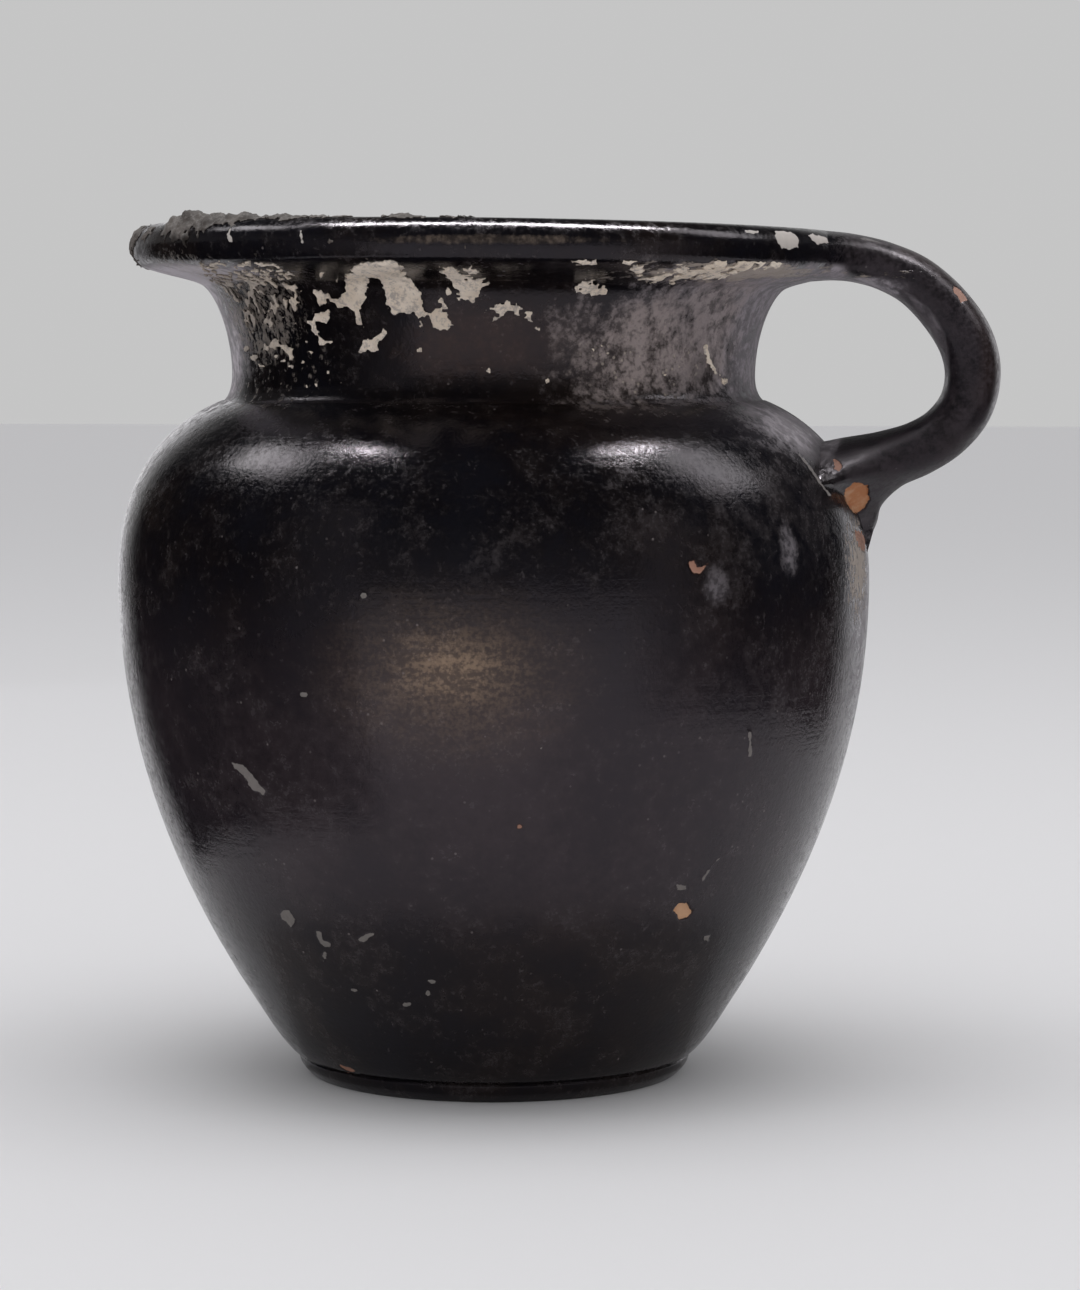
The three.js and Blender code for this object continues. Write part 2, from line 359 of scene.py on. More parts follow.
# Chips in the glaze and flecks on it, traced in the picture.
PAINTED: Dict[str, Tuple[Paint, Outline]] = {
    "root_chip": (Paint.CLAY, Outline((
        (844, 496), (848, 487), (855, 484), (868, 486), (870, 498), (864, 509), (857, 514),
        (851, 509)))),
    "root_spot": (Paint.SCRAPE, Outline((
        (834, 460), (840, 462), (843, 467), (839, 472), (835, 468)))),
    "root_scrape": (Paint.SCRAPE, Outline((
        (855, 530), (862, 531), (866, 541), (865, 552), (859, 546), (856, 538)))),
    "belly_chip": (Paint.CLAY, Outline((
        (674, 911), (678, 905), (682, 904), (687, 904), (691, 911), (688, 918), (680, 920)))),
    "shoulder_fleck": (Paint.SCRAPE, Outline((
        (689, 562), (694, 560), (698, 567), (702, 568), (708, 564), (701, 574), (694, 574)))),
    "strap_chip": (Paint.SCRAPE, Outline((
        (954, 286), (960, 289), (967, 300), (962, 302), (955, 293)))),
    "foot_scratch": (Paint.SCRAPE, Outline(((340, 1066), (348, 1067), (355, 1072), (348, 1072)))),
    "pink_speck": (Paint.SCRAPE, spot(520, 827, 3.2, 2.4)),
    "junction_white": (Paint.FLAKE, Outline((
        (775, 232), (784, 231), (796, 235), (799, 242), (798, 247), (788, 249), (781, 248),
        (777, 242)))),
    "lip_white": (Paint.FLAKE, Outline(((745, 230), (758, 231), (758, 234), (746, 233)))),
    "strap_white": (Paint.FLAKE, Outline((
        (808, 235), (817, 235), (827, 239), (828, 243), (817, 244), (811, 241)))),
    "lip_mark": (Paint.FLAKE, stroke(((230, 228), (229, 235), (231, 242)), 3.0)),
    "lip_scratch": (Paint.FLAKE, stroke(((301, 230), (302, 243)), 1.6)),
    "long_fleck": (Paint.FLAKE, Outline((
        (232, 763), (243, 765), (251, 773), (259, 784), (266, 791), (264, 794), (252, 789),
        (245, 778), (235, 767)))),
    "low_fleck": (Paint.FLAKE, Outline((
        (283, 909), (290, 910), (295, 922), (291, 926), (286, 920), (281, 920)))),
    "cluster": (Paint.FLAKE, Outline((
        (316, 931), (321, 933), (323, 940), (332, 943), (330, 948), (324, 947), (319, 940)))),
    "cluster_low": (Paint.FLAKE, Outline(((323, 951), (326, 952), (329, 957), (324, 961)))),
    "grey_dash": (Paint.FLAKE, Outline(((357, 939), (368, 933), (374, 934), (363, 942)))),
    "right_fleck": (Paint.FLAKE, Outline(((677, 885), (686, 885), (686, 889), (677, 890)))),
    "right_scratch": (Paint.FLAKE, stroke(((700, 885), (708, 871), (716, 861), (726, 854)), 1.6)),
    "right_low": (Paint.FLAKE, Outline(((704, 935), (709, 936), (708, 941), (704, 940)))),
    "smear_line": (Paint.FLAKE, stroke(((749, 732), (750, 756)), 2.2)),
    # Painted highlight: the bright line along the lower root's joint with the shoulder, laid with
    # the fleck paint.
    "root_crease_highlight": (Paint.FLAKE, stroke(((798, 454), (808, 466), (818, 480), (829, 495)), 1.8)),
    "dot_a": (Paint.FLAKE, spot(364, 596, 2.6)),
    "dot_b": (Paint.FLAKE, spot(541, 748, 1.8)),
    "dot_c": (Paint.FLAKE, spot(431, 981, 4.5, 1.8)),
    "dot_d": (Paint.FLAKE, spot(428, 993, 2.0)),
    "dot_e": (Paint.FLAKE, spot(407, 1004, 4.0, 1.6)),
    "dot_f": (Paint.FLAKE, spot(354, 990, 3.4, 2.0)),
    "dot_g": (Paint.FLAKE, spot(304, 695, 3.0, 2.2)),
}


def fractal(point: Vector, size: float, octaves: int = 3) -> float:
    """Gives smooth noise about zero.

    Args:
        point: A place, in metres.
        size: The size of its largest lumps, in metres.
        octaves: How many finer layers it has.

    Returns:
        A value of about minus one to one.
    """
    return noise.fractal(point / size, 1.0, 2.1, octaves, noise_basis="PERLIN_ORIGINAL")


def smoothstep(value: float, low: float, high: float) -> float:
    """Rises smoothly from 0 at low to 1 at high."""
    place = max(0.0, min(1.0, (value - low) / (high - low)))
    return place * place * (3 - 2 * place)


class Link:
    """One output of a node, with the arithmetic that adds Math nodes."""

    def __init__(self, graph: "Graph", socket: bpy.types.NodeSocket) -> None:
        """Wraps a socket of a node tree."""
        self.graph = graph
        self.socket = socket

    def _math(self, operation: str, first: Value, second: Value) -> "Link":
        """Adds one Math node and gives its output."""
        return self.graph.node("ShaderNodeMath", {"operation": operation}, {0: first, 1: second})

    def __add__(self, other: Value) -> "Link":
        """Adds."""
        return self._math("ADD", self, other)

    def __radd__(self, other: Value) -> "Link":
        """Adds to a number."""
        return self._math("ADD", other, self)

    def __sub__(self, other: Value) -> "Link":
        """Takes away."""
        return self._math("SUBTRACT", self, other)

    def __rsub__(self, other: Value) -> "Link":
        """Is taken from a number."""
        return self._math("SUBTRACT", other, self)

    def __mul__(self, other: Value) -> "Link":
        """Multiplies."""
        return self._math("MULTIPLY", self, other)

    def __rmul__(self, other: Value) -> "Link":
        """Multiplies a number."""
        return self._math("MULTIPLY", other, self)

    def most(self, other: Value) -> "Link":
        """Gives the larger of the two."""
        return self._math("MAXIMUM", self, other)

    def least(self, other: Value) -> "Link":
        """Gives the smaller of the two."""
        return self._math("MINIMUM", self, other)


class Graph:
    """A node tree that is built from Python expressions."""

    def __init__(self, tree: bpy.types.NodeTree) -> None:
        """Empties a node tree to build in.

        Args:
            tree: The node tree.
        """
        self.tree = tree
        self.tree.nodes.clear()

    def node(
        self,
        kind: str,
        settings: Optional[Dict[str, Any]] = None,
        inputs: Optional[Dict[Union[int, str], Any]] = None,
        output: Union[int, str] = 0,
    ) -> Link:
        """Adds a node.

        Args:
            kind: The node's type.
            settings: Its settings by name, which are set first.
            inputs: Values or links of its sockets, by name or number.
            output: The output that is wanted.

        Returns:
            The wanted output.
        """
        made = self.tree.nodes.new(kind)
        for name, value in (settings or {}).items():
            setattr(made, name, value)
        for key, value in (inputs or {}).items():
            if isinstance(value, Link):
                self.tree.links.new(value.socket, made.inputs[key])
            else:
                made.inputs[key].default_value = value
        return Link(self, made.outputs[output])

    def rise(self, value: Link, low: float, high: float) -> Link:
        """Rises smoothly from 0 where the value is low to 1 where it is high."""
        inputs = {"Value": value, "From Min": low, "From Max": high}
        return self.node("ShaderNodeMapRange", {"interpolation_type": "SMOOTHSTEP"}, inputs)


class Shader(Graph):
    """A material on Object coordinates."""

    def __init__(self, name: str) -> None:
        """Starts a material with one surface shader.

        Args:
            name: The material's name.
        """
        self.material = bpy.data.materials.new(name)
        self.material.use_nodes = True
        super().__init__(self.material.node_tree)
        self.surface = self.tree.nodes.new("ShaderNodeBsdfPrincipled")
        output = self.tree.nodes.new("ShaderNodeOutputMaterial")
        self.tree.links.new(self.surface.outputs[0], output.inputs["Surface"])
        self.place = self.node("ShaderNodeTexCoord", output="Object")
        self.unrolled = self.unroll()

    def unroll(self) -> Link:
        """Unrolls the wall.

        Returns:
            Degrees round the axis to the right of the camera's side, and millimetres of height.
        """
        away = math.radians(-PictureCamera.azimuth_deg)
        inputs = {"Vector": self.place, "Rotation": (0.0, 0.0, away)}
        faced = self.node("ShaderNodeMapping", None, inputs)
        x, y, z = (
            self.node("ShaderNodeSeparateXYZ", None, {0: faced}, axis) for axis in ("X", "Y", "Z"))
        turn = self.node("ShaderNodeMath", {"operation": "ARCTAN2"}, {0: y, 1: x})
        across = {"X": turn * math.degrees(1.0), "Y": z * (1 / MM)}
        return self.node("ShaderNodeCombineXYZ", None, across)

    def patch(self, place: Place) -> Link:
        """Gives an oval patch on the wall.

        Args:
            place: Which patch it is.

        Returns:
            1 in the middle, falling evenly to 0 at the edge and below 0 outside.
        """
        oval = place.value
        inputs = {
            "Vector": self.unrolled,
            "Location": (oval.turn, oval.height, 0.0),
            "Scale": (oval.half_turn, oval.half_height, 1.0),
        }
        scaled = self.node("ShaderNodeMapping", {"vector_type": "TEXTURE"}, inputs)
        return 1.0 - self.length(scaled)

    def zone(self, place: Place, low: float, high: float, ragged: Value = 0.0) -> Link:
        """Gives a patch with a soft edge.

        Args:
            place: Which patch it is.
            low: The patch's value that gives 0.
            high: The patch's value that gives 1.
            ragged: Noise about zero that breaks its edge up.

        Returns:
            0 outside to 1 inside.
        """
        return self.rise(self.patch(place) + ragged, low, high)

    def dots(self, size: float, share: float) -> Link:
        """Gives scattered round dots.

        Args:
            size: The distance between their places, in metres.
            share: How large they are, from 0 to 1.

        Returns:
            1 on a dot.
        """
        cells = {"Vector": self.place, "Scale": 1 / size, "Randomness": 1.0}
        near = self.node("ShaderNodeTexVoronoi", None, cells, "Distance")
        return 1.0 - self.rise(near, share * 0.5, share)

    def noise(
        self,
        size: float,
        detail: float = 4.0,
        roughness: float = 0.55,
        stretch: Tuple[float, float, float] = (1.0, 1.0, 1.0),
    ) -> Link:
        """Adds noise.

        Args:
            size: The size of its lumps, in metres.
            detail: How many finer layers it has.
            roughness: How strong the finer layers are.
            stretch: How much finer it is along each axis.

        Returns:
            A value of about 0 to 1.
        """
        scaled = self.node("ShaderNodeMapping", None, {"Vector": self.place, "Scale": stretch})
        inputs = {"Vector": scaled, "Scale": 1 / size, "Detail": detail, "Roughness": roughness}
        return self.node("ShaderNodeTexNoise", None, inputs)

    def cloud(self, middle: Vector, reach: Tuple[float, float, float], soft: float = 1.0) -> Link:
        """Gives a soft oval region.

        Args:
            middle: Its middle.
            reach: Its reach along each axis.
            soft: The share of the reach over which it fades.

        Returns:
            1 in the middle and 0 outside.
        """
        away = self.node(
            "ShaderNodeVectorMath", {"operation": "SUBTRACT"}, {0: self.place, 1: middle})
        scaled = self.node("ShaderNodeVectorMath", {"operation": "DIVIDE"}, {0: away, 1: reach})
        return 1.0 - self.rise(self.length(scaled), 1.0 - soft, 1.0)

    def mix(self, factor: Value, first: Any, second: Any) -> Link:
        """Mixes two colours.

        Args:
            factor: The share of the second colour.
            first: A colour, as a link or three numbers.
            second: The other colour.

        Returns:
            The mixed colour.
        """
        def full(colour: Any) -> Any:
            """Adds the fourth number that a colour socket takes."""
            return colour if isinstance(colour, Link) else (*colour, 1.0)

        inputs = {0: factor, 6: full(first), 7: full(second)}
        return self.node("ShaderNodeMix", {"data_type": "RGBA"}, inputs, 2)

    def painted(self, paint: Paint) -> Link:
        """Reads how much of a paint a point has."""
        settings = {"attribute_name": paint.value}
        return self.node("ShaderNodeAttribute", settings, None, "Fac")

    def height(self) -> Link:
        """Gives the height above the resting plane."""
        return self.node("ShaderNodeSeparateXYZ", None, {0: self.place}, "Z")

    def across(self) -> Link:
        """Gives the distance from the strap's middle plane."""
        side = self.node("ShaderNodeSeparateXYZ", None, {0: self.place}, "Y")
        return side.most(0.0 - side)

    def length(self, vector: Link) -> Link:
        """Gives the length of a vector."""
        return self.node("ShaderNodeVectorMath", {"operation": "LENGTH"}, {0: vector}, "Value")

    def flattened(self, vector: Link, keep: Tuple[float, float, float]) -> Link:
        """Keeps the axes of a vector that have a 1, and gives the length of what is left."""
        inputs = {0: vector, 1: keep}
        flat = self.node("ShaderNodeVectorMath", {"operation": "MULTIPLY"}, inputs)
        return self.length(flat)

    def beyond(self, radius: float) -> Link:
        """Divides the jug by the distance from the wheel's axis.

        Args:
            radius: The distance, in millimetres.

        Returns:
            1 outside the radius and 0 inside it.
        """
        soft = 0.7
        far = self.flattened(self.place, (1.0, 1.0, 0.0))
        return self.rise(far, (radius - soft) * MM, (radius + soft) * MM)

    def outside(self) -> Link:
        """Tells the outside of the neck and of the lip's underside from their inside.

        Returns:
            1 on the outside and 0 on the inside.
        """
        throat_middle = 34.6 * MM
        lip_spread = 4.5 * MM
        middle = throat_middle + self.rise(self.height(), 105 * MM, 110.5 * MM) * lip_spread
        far = self.flattened(self.place, (1.0, 1.0, 0.0))
        return self.rise(far - middle, -0.5 * MM, 0.5 * MM)

    def ring(self) -> Link:
        """Gives the place between the strap's loop and its outer edge.

        Returns:
            About 0.65 at the loop and 1 at the outer edge.
        """
        inputs = {
            "Vector": self.place,
            "Location": (50 * MM, 0.0, 98.6 * MM),
            "Scale": (19.3 * MM, 1.0, 17.2 * MM),
        }
        scaled = self.node("ShaderNodeMapping", {"vector_type": "TEXTURE"}, inputs)
        return self.flattened(scaled, (1.0, 0.0, 1.0))

    def bump(self, height: Link, depth: float, normal: Optional[Link] = None) -> Link:
        """Adds a bump.

        Args:
            height: Its height, from 0 to 1.
            depth: What a height of 1 stands for, in metres.
            normal: Another bump that it lies on.

        Returns:
            The bumped normal.
        """
        inputs: Dict[Union[int, str], Any] = {"Height": height, "Distance": depth, "Strength": 1.0}
        if normal is not None:
            inputs["Normal"] = normal
        return self.node("ShaderNodeBump", None, inputs)

    def feed(self, **sockets: Any) -> None:
        """Sets or links the surface shader's sockets.

        Args:
            **sockets: Their values or links by name, with _ for a space.
        """
        for name, value in sockets.items():
            socket = self.surface.inputs[name.replace("_", " ")]
            if isinstance(value, Link):
                self.tree.links.new(value.socket, socket)
            elif isinstance(value, tuple):
                socket.default_value = (*value, 1.0)
            else:
                socket.default_value = value


@dataclass(frozen=True)
class BlackGlaze:
    """Worn semi-gloss black slip over orange clay, with grey lime film and brown wear, and with
    painted reflections: the floor on the lower belly and a warm light on the belly and the lip's
    band.
    """

    black: Colour = (0.0042, 0.0035, 0.0045)
    brown_black: Colour = (0.012, 0.0078, 0.006)
    blue_black: Colour = (0.006, 0.0065, 0.01)
    # Partly painted reflection: the pale floor mirrored in the lower belly, over a thin cloudy
    # film.
    haze_and_floor_reflection: Colour = (0.034, 0.026, 0.03)
    dust: Colour = (0.05, 0.044, 0.047)
    pale_dust: Colour = (0.12, 0.105, 0.105)
    # Painted reflection: the colour of a warm light mirrored on the belly, laid over speckled wear.
    golden_reflection: Colour = (0.34, 0.235, 0.155)
    red_wear: Colour = (0.045, 0.024, 0.017)
    # Painted reflection of a warm light on the lip's band, with speckled wear.
    band_wear_and_reflection: Colour = (0.13, 0.1, 0.078)
    film: Colour = (0.38, 0.345, 0.375)
    # Partly painted light: a pale film, made paler to stand in for light falling from below left on
    # the lip's underside.
    pale_film_and_light: Colour = (0.62, 0.58, 0.62)
    brown_film: Colour = (0.32, 0.265, 0.25)
    lime: Colour = (0.42, 0.36, 0.31)
    clay: Colour = (0.4, 0.165, 0.07)
    dull_clay: Colour = (0.4, 0.19, 0.09)
    pale_clay: Colour = (0.5, 0.3, 0.18)
    chip_edge: Colour = (0.03, 0.012, 0.007)
    scrape: Colour = (0.38, 0.2, 0.14)
    fleck: Colour = (0.36, 0.335, 0.32)
    pale_fleck: Colour = (0.6, 0.55, 0.5)
    strap_dust: Colour = (0.031, 0.024, 0.029)
    gloss_level: float = 0.34
    gloss_tint: Colour = (1.0, 0.905, 0.99)

    def build(self) -> bpy.types.Material:
        """Builds the material.

        Returns:
            The glaze, for every thrown or pulled piece.
        """
        s = Shader("black_glaze")
        fine = s.noise(0.55 * MM, 3.0, 0.6)
        grain = s.noise(1.7 * MM, 6.0, 0.65)
        lumps = s.noise(8 * MM, 5.0, 0.6)
        broad = s.noise(30 * MM, 3.0)
        wheel = s.noise(1.3 * MM, 4.0, 0.6, (0.03, 0.03, 1.0))
        colour = self.ground(s, fine, grain, lumps, broad)
        colour = self.wear(s, colour, fine, grain, lumps)
        film, colour = self.film_over(s, colour, fine, grain, lumps)
        net, colour = self.lime_over(s, colour, fine, grain)
        bare, colour = self.bare_clay(s, colour, grain, lumps)
        matt = film.most(net).most(bare)
        strap = s.zone(Place.STRAP, 0.0, 0.3)
        root = s.cloud(Vector((55, 0, 85)) * MM, (16 * MM, 21 * MM, 10 * MM), 0.5)
        lip_end = s.zone(Place.LIP_END, 0.0, 0.5)
        dull = strap.most(lip_end)
        dusty = (1.0 - matt) * s.rise(grain * 0.6 + fine * 0.4, 0.34, 0.64)
        colour = s.mix(dull * dusty * 0.75, colour, self.strap_dust)
        scuffed = s.rise(grain * 0.55 + fine * 0.45, 0.45, 0.58)
        rough = 0.105 + scuffed * 0.15 + s.rise(lumps, 0.45, 0.7) * 0.05
        rough = rough + dull * 0.2 + root * 0.22
        rough = rough + matt * (0.85 - rough)
        normal = s.bump(fine * 0.45 + grain * 0.55, 0.08 * MM)
        normal = s.bump(wheel, 0.035 * MM, normal)
        normal = s.bump(film * 0.25 + net, 0.12 * MM, normal)
        s.feed(Base_Color=colour, Roughness=rough, Normal=normal, IOR=1.5)
        s.feed(Specular_IOR_Level=self.gloss_level, Specular_Tint=self.gloss_tint)
        return s.material

    def ground(self, s: Shader, fine: Link, grain: Link, lumps: Link, broad: Link) -> Link:
        """Colours the slip itself, with dust in its pits and a painted reflection of the floor on
        the lower belly.

        Args:
            s: The shader.
            fine: The finest noise.
            grain: Fine noise.
            lumps: Coarse noise.
            broad: The broadest noise.

        Returns:
            The colour.
        """
        brown = s.rise(broad * 0.5 + lumps * 0.3 + grain * 0.2, 0.46, 0.62)
        colour = s.mix(brown * 0.75, self.black, self.brown_black)
        blue = s.rise(broad * 0.5 + lumps * 0.3 + grain * 0.2, 0.5, 0.38)
        colour = s.mix(blue * 0.5, colour, self.blue_black)
        # Painted reflection of the pale floor on the lower belly, partly a thin cloudy film,
        # between about 20 and 76 mm of height.
        low = s.rise(s.height(), 20 * MM, 36 * MM) * s.rise(s.height(), 76 * MM, 50 * MM)
        cloudy = 0.5 + 0.5 * s.rise(broad * 0.4 + lumps * 0.3 + grain * 0.3, 0.4, 0.6)
        colour = s.mix(low * cloudy * 0.75, colour, self.haze_and_floor_reflection)
        veil = s.rise(lumps * 0.45 + grain * 0.35 + fine * 0.2, 0.5, 0.64)
        colour = s.mix(veil * 0.3, colour, self.dust)
        colour = s.mix(s.rise(fine * 0.5 + grain * 0.5, 0.575, 0.69) * 0.6, colour, self.dust)
        side = s.zone(Place.DUSTY_SIDE, 0.0, 0.8)
        colour = s.mix(side * 0.3 * s.rise(grain * 0.6 + lumps * 0.4, 0.38, 0.6), colour, self.dust)
        specks = s.dots(2.6 * MM, 0.085) * s.rise(lumps, 0.45, 0.6)
        return s.mix(specks * 0.9, colour, self.pale_dust)

    def wear(self, s: Shader, colour: Link, fine: Link, grain: Link, lumps: Link) -> Link:
        """Adds the painted golden reflection on the belly and the lip's band, over speckled wear,
        the red neck and the worn strap.

        Args:
            s: The shader.
            colour: The colour so far.
            fine: The finest noise.
            grain: Fine noise.
            lumps: Coarse noise.

        Returns:
            The colour with its wear.
        """
        speckle = s.rise(grain * 0.65 + fine * 0.35, 0.42, 0.66)
        flat = s.noise(1.5 * MM, 6.0, 0.7, (0.3, 0.3, 1.0))
        shine = s.rise(flat * 0.5 + fine * 0.5, 0.42, 0.62)
        # Painted reflection: a warm golden light mirrored on the front of the belly, over speckled
        # wear.
        halo = s.zone(Place.GOLDEN_REFLECTION_HALO, 0.0, 1.0)
        core = s.zone(Place.GOLDEN_REFLECTION_CORE, 0.0, 1.0, (lumps - 0.5) * 0.6)
        colour = s.mix(halo * 0.17 * (0.4 + shine), colour, self.golden_reflection)
        colour = s.mix(core * (0.14 + 0.5 * shine), colour, self.golden_reflection)
        grey_spot = s.zone(Place.GREY_SPOT, 0.2, 1.0, grain - 0.5)
        colour = s.mix(grey_spot * speckle * 0.5, colour, self.dust)

        red = s.zone(Place.RED_NECK, 0.0, 0.8, (lumps - 0.5) * 0.9)
        colour = s.mix(red * (0.45 + 0.55 * speckle) * 0.75, colour, self.red_wear)

        # Painted reflection: the same warm light along the lip's band, with speckled wear.
        band = s.zone(Place.BAND_WEAR_AND_REFLECTION, 0.0, 0.6, (grain - 0.5) * 1.1)
        colour = s.mix(band * (0.15 + 0.6 * speckle), colour, self.band_wear_and_reflection)

        ring = s.ring()
        near_edge = s.rise(s.across(), 5.4 * MM, 7.0 * MM)
        upper = s.rise(s.height(), 98 * MM, 106 * MM)
        strap_side = s.rise(s.height(), 90 * MM, 98 * MM) * s.beyond(56.0)
        brown_side = s.rise(ring, 0.84, 0.93) * strap_side
        colour = s.mix(brown_side * (0.3 + 0.6 * speckle), colour, self.red_wear)
        edge_line = s.rise(ring, 0.9, 0.955) * near_edge * upper * s.beyond(51.2)
        worn = s.rise(edge_line * 0.42 + grain * 0.55 + lumps * 0.25, 0.74, 0.9)
        return s.mix(worn * 0.85, colour, self.fleck)

    def film_over(
        self, s: Shader, colour: Link, fine: Link, grain: Link, lumps: Link,
    ) -> Tuple[Link, Link]:
        """Lays the thin grey film over the glaze.

        Args:
            s: The shader.
            colour: The colour so far.
            fine: The finest noise.
            grain: Fine noise.
            lumps: Coarse noise.

        Returns:
            How thick the film is, and the colour with it.
        """
        break_up = (lumps - 0.5) * 0.9 + (grain - 0.5) * 0.9
        level = s.noise(1.5 * MM, 5.0, 0.6, (0.35, 0.35, 1.0))
        soil = s.rise(s.noise(3.2 * MM, 6.0, 0.7) + (fine - 0.5) * 0.2, 0.52, 0.6)
        right = s.zone(Place.NECK_RIGHT, 0.0, 0.55, break_up * 0.9)
        right = right * (1.0 - soil * 0.6 * s.zone(Place.NECK_SOIL, 0.0, 0.4))
        brown_zone = s.zone(Place.NECK_BROWN, 0.0, 0.8, break_up * 1.5)
        blue_zone = s.zone(Place.NECK_BLUE, 0.3, 0.7, break_up * 1.3)
        left = s.zone(Place.NECK_LEFT, 0.0, 0.5, break_up * 0.5)
        # The lip's underside at the left, where the pale film also stands in for light from below
        # left.
        under_left = s.zone(Place.UNDER_LIP_LEFT, 0.0, 0.35, break_up * 0.5)
        under_right = s.zone(Place.UNDER_LIP_RIGHT, 0.0, 0.5, break_up)
        back = s.zone(Place.BACK_RIGHT, 0.1, 0.9, break_up * 1.2) * 0.55
        back = back * s.zone(Place.BACK_RIGHT_END, 0.0, 0.15)
        back_left = s.zone(Place.BACK_LEFT, 0.1, 0.9, break_up * 1.2) * 0.5
        back_left = back_left * s.zone(Place.BACK_LEFT_END, 0.0, 0.15)
        shoulder = s.zone(Place.SHOULDER, 0.0, 0.75, break_up * 0.3)
        shoulder = shoulder * (1.0 - s.beyond(48.5))
        edge = s.zone(Place.RIGHT_EDGE, 0.0, 0.8, (level - 0.5) * 1.6) * 0.4
        smear = s.zone(Place.SMEAR, 0.0, 1.0, (grain - 0.5) * 0.7) * 0.4
        smear_high = s.zone(Place.SMEAR_HIGH, 0.0, 1.0, (grain - 0.5) * 0.7) * 0.5
        crease_line = s.zone(Place.CREASE, 0.1, 0.7, (level - 0.5) * 2.2) * 0.45
        root_under = s.cloud(Vector((50, 0, 108.6)) * MM, (17 * MM, 14 * MM, 3.1 * MM), 0.6)
        root_film = s.rise(root_under + break_up * 0.6, 0.25, 0.75)
        loop_film = s.rise(s.ring() + (grain - 0.5) * 0.05, 0.675, 0.645) * s.beyond(52.0)
        loop_film = loop_film * s.rise(s.height(), 92 * MM, 99 * MM) * 0.6

        neck = right.most(left).most(under_left).most(under_right).most(back).most(back_left)
        neck = neck * (1.0 - blue_zone * 0.5) * (1.0 - brown_zone * 0.6) * (1.0 - s.beyond(50.3))
        neck = neck * s.rise(s.height(), 111.9 * MM, 110.9 * MM) * s.outside()
        body = shoulder.most(edge).most(smear).most(smear_high).most(crease_line)
        body = body * (1.0 - s.beyond(52.4))
        film = neck.most(body).most(root_film).most(loop_film)
        mottle = 0.3 + 0.7 * s.rise(grain * 0.5 + lumps * 0.3 + fine * 0.2, 0.4, 0.58)
        film = film * mottle.most(under_left * (1.0 - s.beyond(50.3))).most(shoulder * 0.8)
        veined = s.rise(fine * 0.45 + grain * 0.35 + lumps * 0.2, 0.43, 0.57)
        brown = brown_zone * (0.3 + 0.7 * veined)
        brown = brown * (1.0 - soil * 0.6)
        colour = s.mix(brown * 0.85, colour, self.brown_film)
        pale = left.most(under_left).most(root_film * 0.6).most(shoulder * 0.6)
        warm = s.zone(Place.NECK_WARM, 0.0, 0.5, (lumps - 0.5) * 1.6)
        shade = s.mix(warm * 0.65, self.film, self.brown_film)
        # Partly painted light: the pale film brightens the neck's left and the lip's underside as
        # if lit from below left.
        shade = s.mix(pale * s.rise(grain * 0.5 + lumps * 0.5, 0.38, 0.56), shade, self.pale_film_and_light)
        colour = s.mix(film * 0.9, colour, shade)
        return film.most(brown * 0.7), colour

    def lime_over(self, s: Shader, colour: Link, fine: Link, grain: Link) -> Tuple[Link, Link]:
        """Lays the finest lime, too thin to stand off the wall.

        Args:
            s: The shader.
            colour: The colour so far.
            fine: The finest noise.
            grain: Fine noise.

        Returns:
            How much lime there is, and the colour with it.
        """
        streak = s.noise(0.75 * MM, 5.0, 0.7, (1.0, 1.0, 0.6))
        flow = s.noise(0.8 * MM, 5.0, 0.65, (0.3, 0.3, 1.0))
        net_place = s.patch(Place.LIME_NET)
        net = s.rise(streak * 0.7 + fine * 0.3 + net_place.least(0.4) * 0.16, 0.52, 0.62)
        net = net * s.rise(net_place + (grain - 0.5) * 0.9, -0.05, 0.3) * 0.46 * s.outside()
        ledge = s.patch(Place.LIME_LEDGE)
        ledge_lime = s.rise(ledge * 0.35 + flow, 0.62, 0.72) * s.rise(ledge, -0.1, 0.2)
        low_left = s.dots(1.1 * MM, 0.4) * s.zone(Place.LIME_LOW_LEFT, 0.1, 0.4, grain - 0.5)
        low_left = low_left * s.rise(streak * 0.6 + grain * 0.4, 0.49, 0.56) * 0.5
        low_right = s.dots(1.2 * MM, 0.24) * s.zone(Place.LIME_LOW_RIGHT, 0.1, 0.5, grain - 0.5)
        side = s.patch(Place.LIME_SIDE)
        side_lime = s.rise(side * 0.25 + streak, 0.58, 0.66) * s.rise(side, 0.0, 0.3) * 0.85
        lime = net.most(ledge_lime * 0.9).most(low_left).most(low_right * 0.7).most(side_lime)
        return lime, s.mix(lime * 0.85, colour, self.lime)

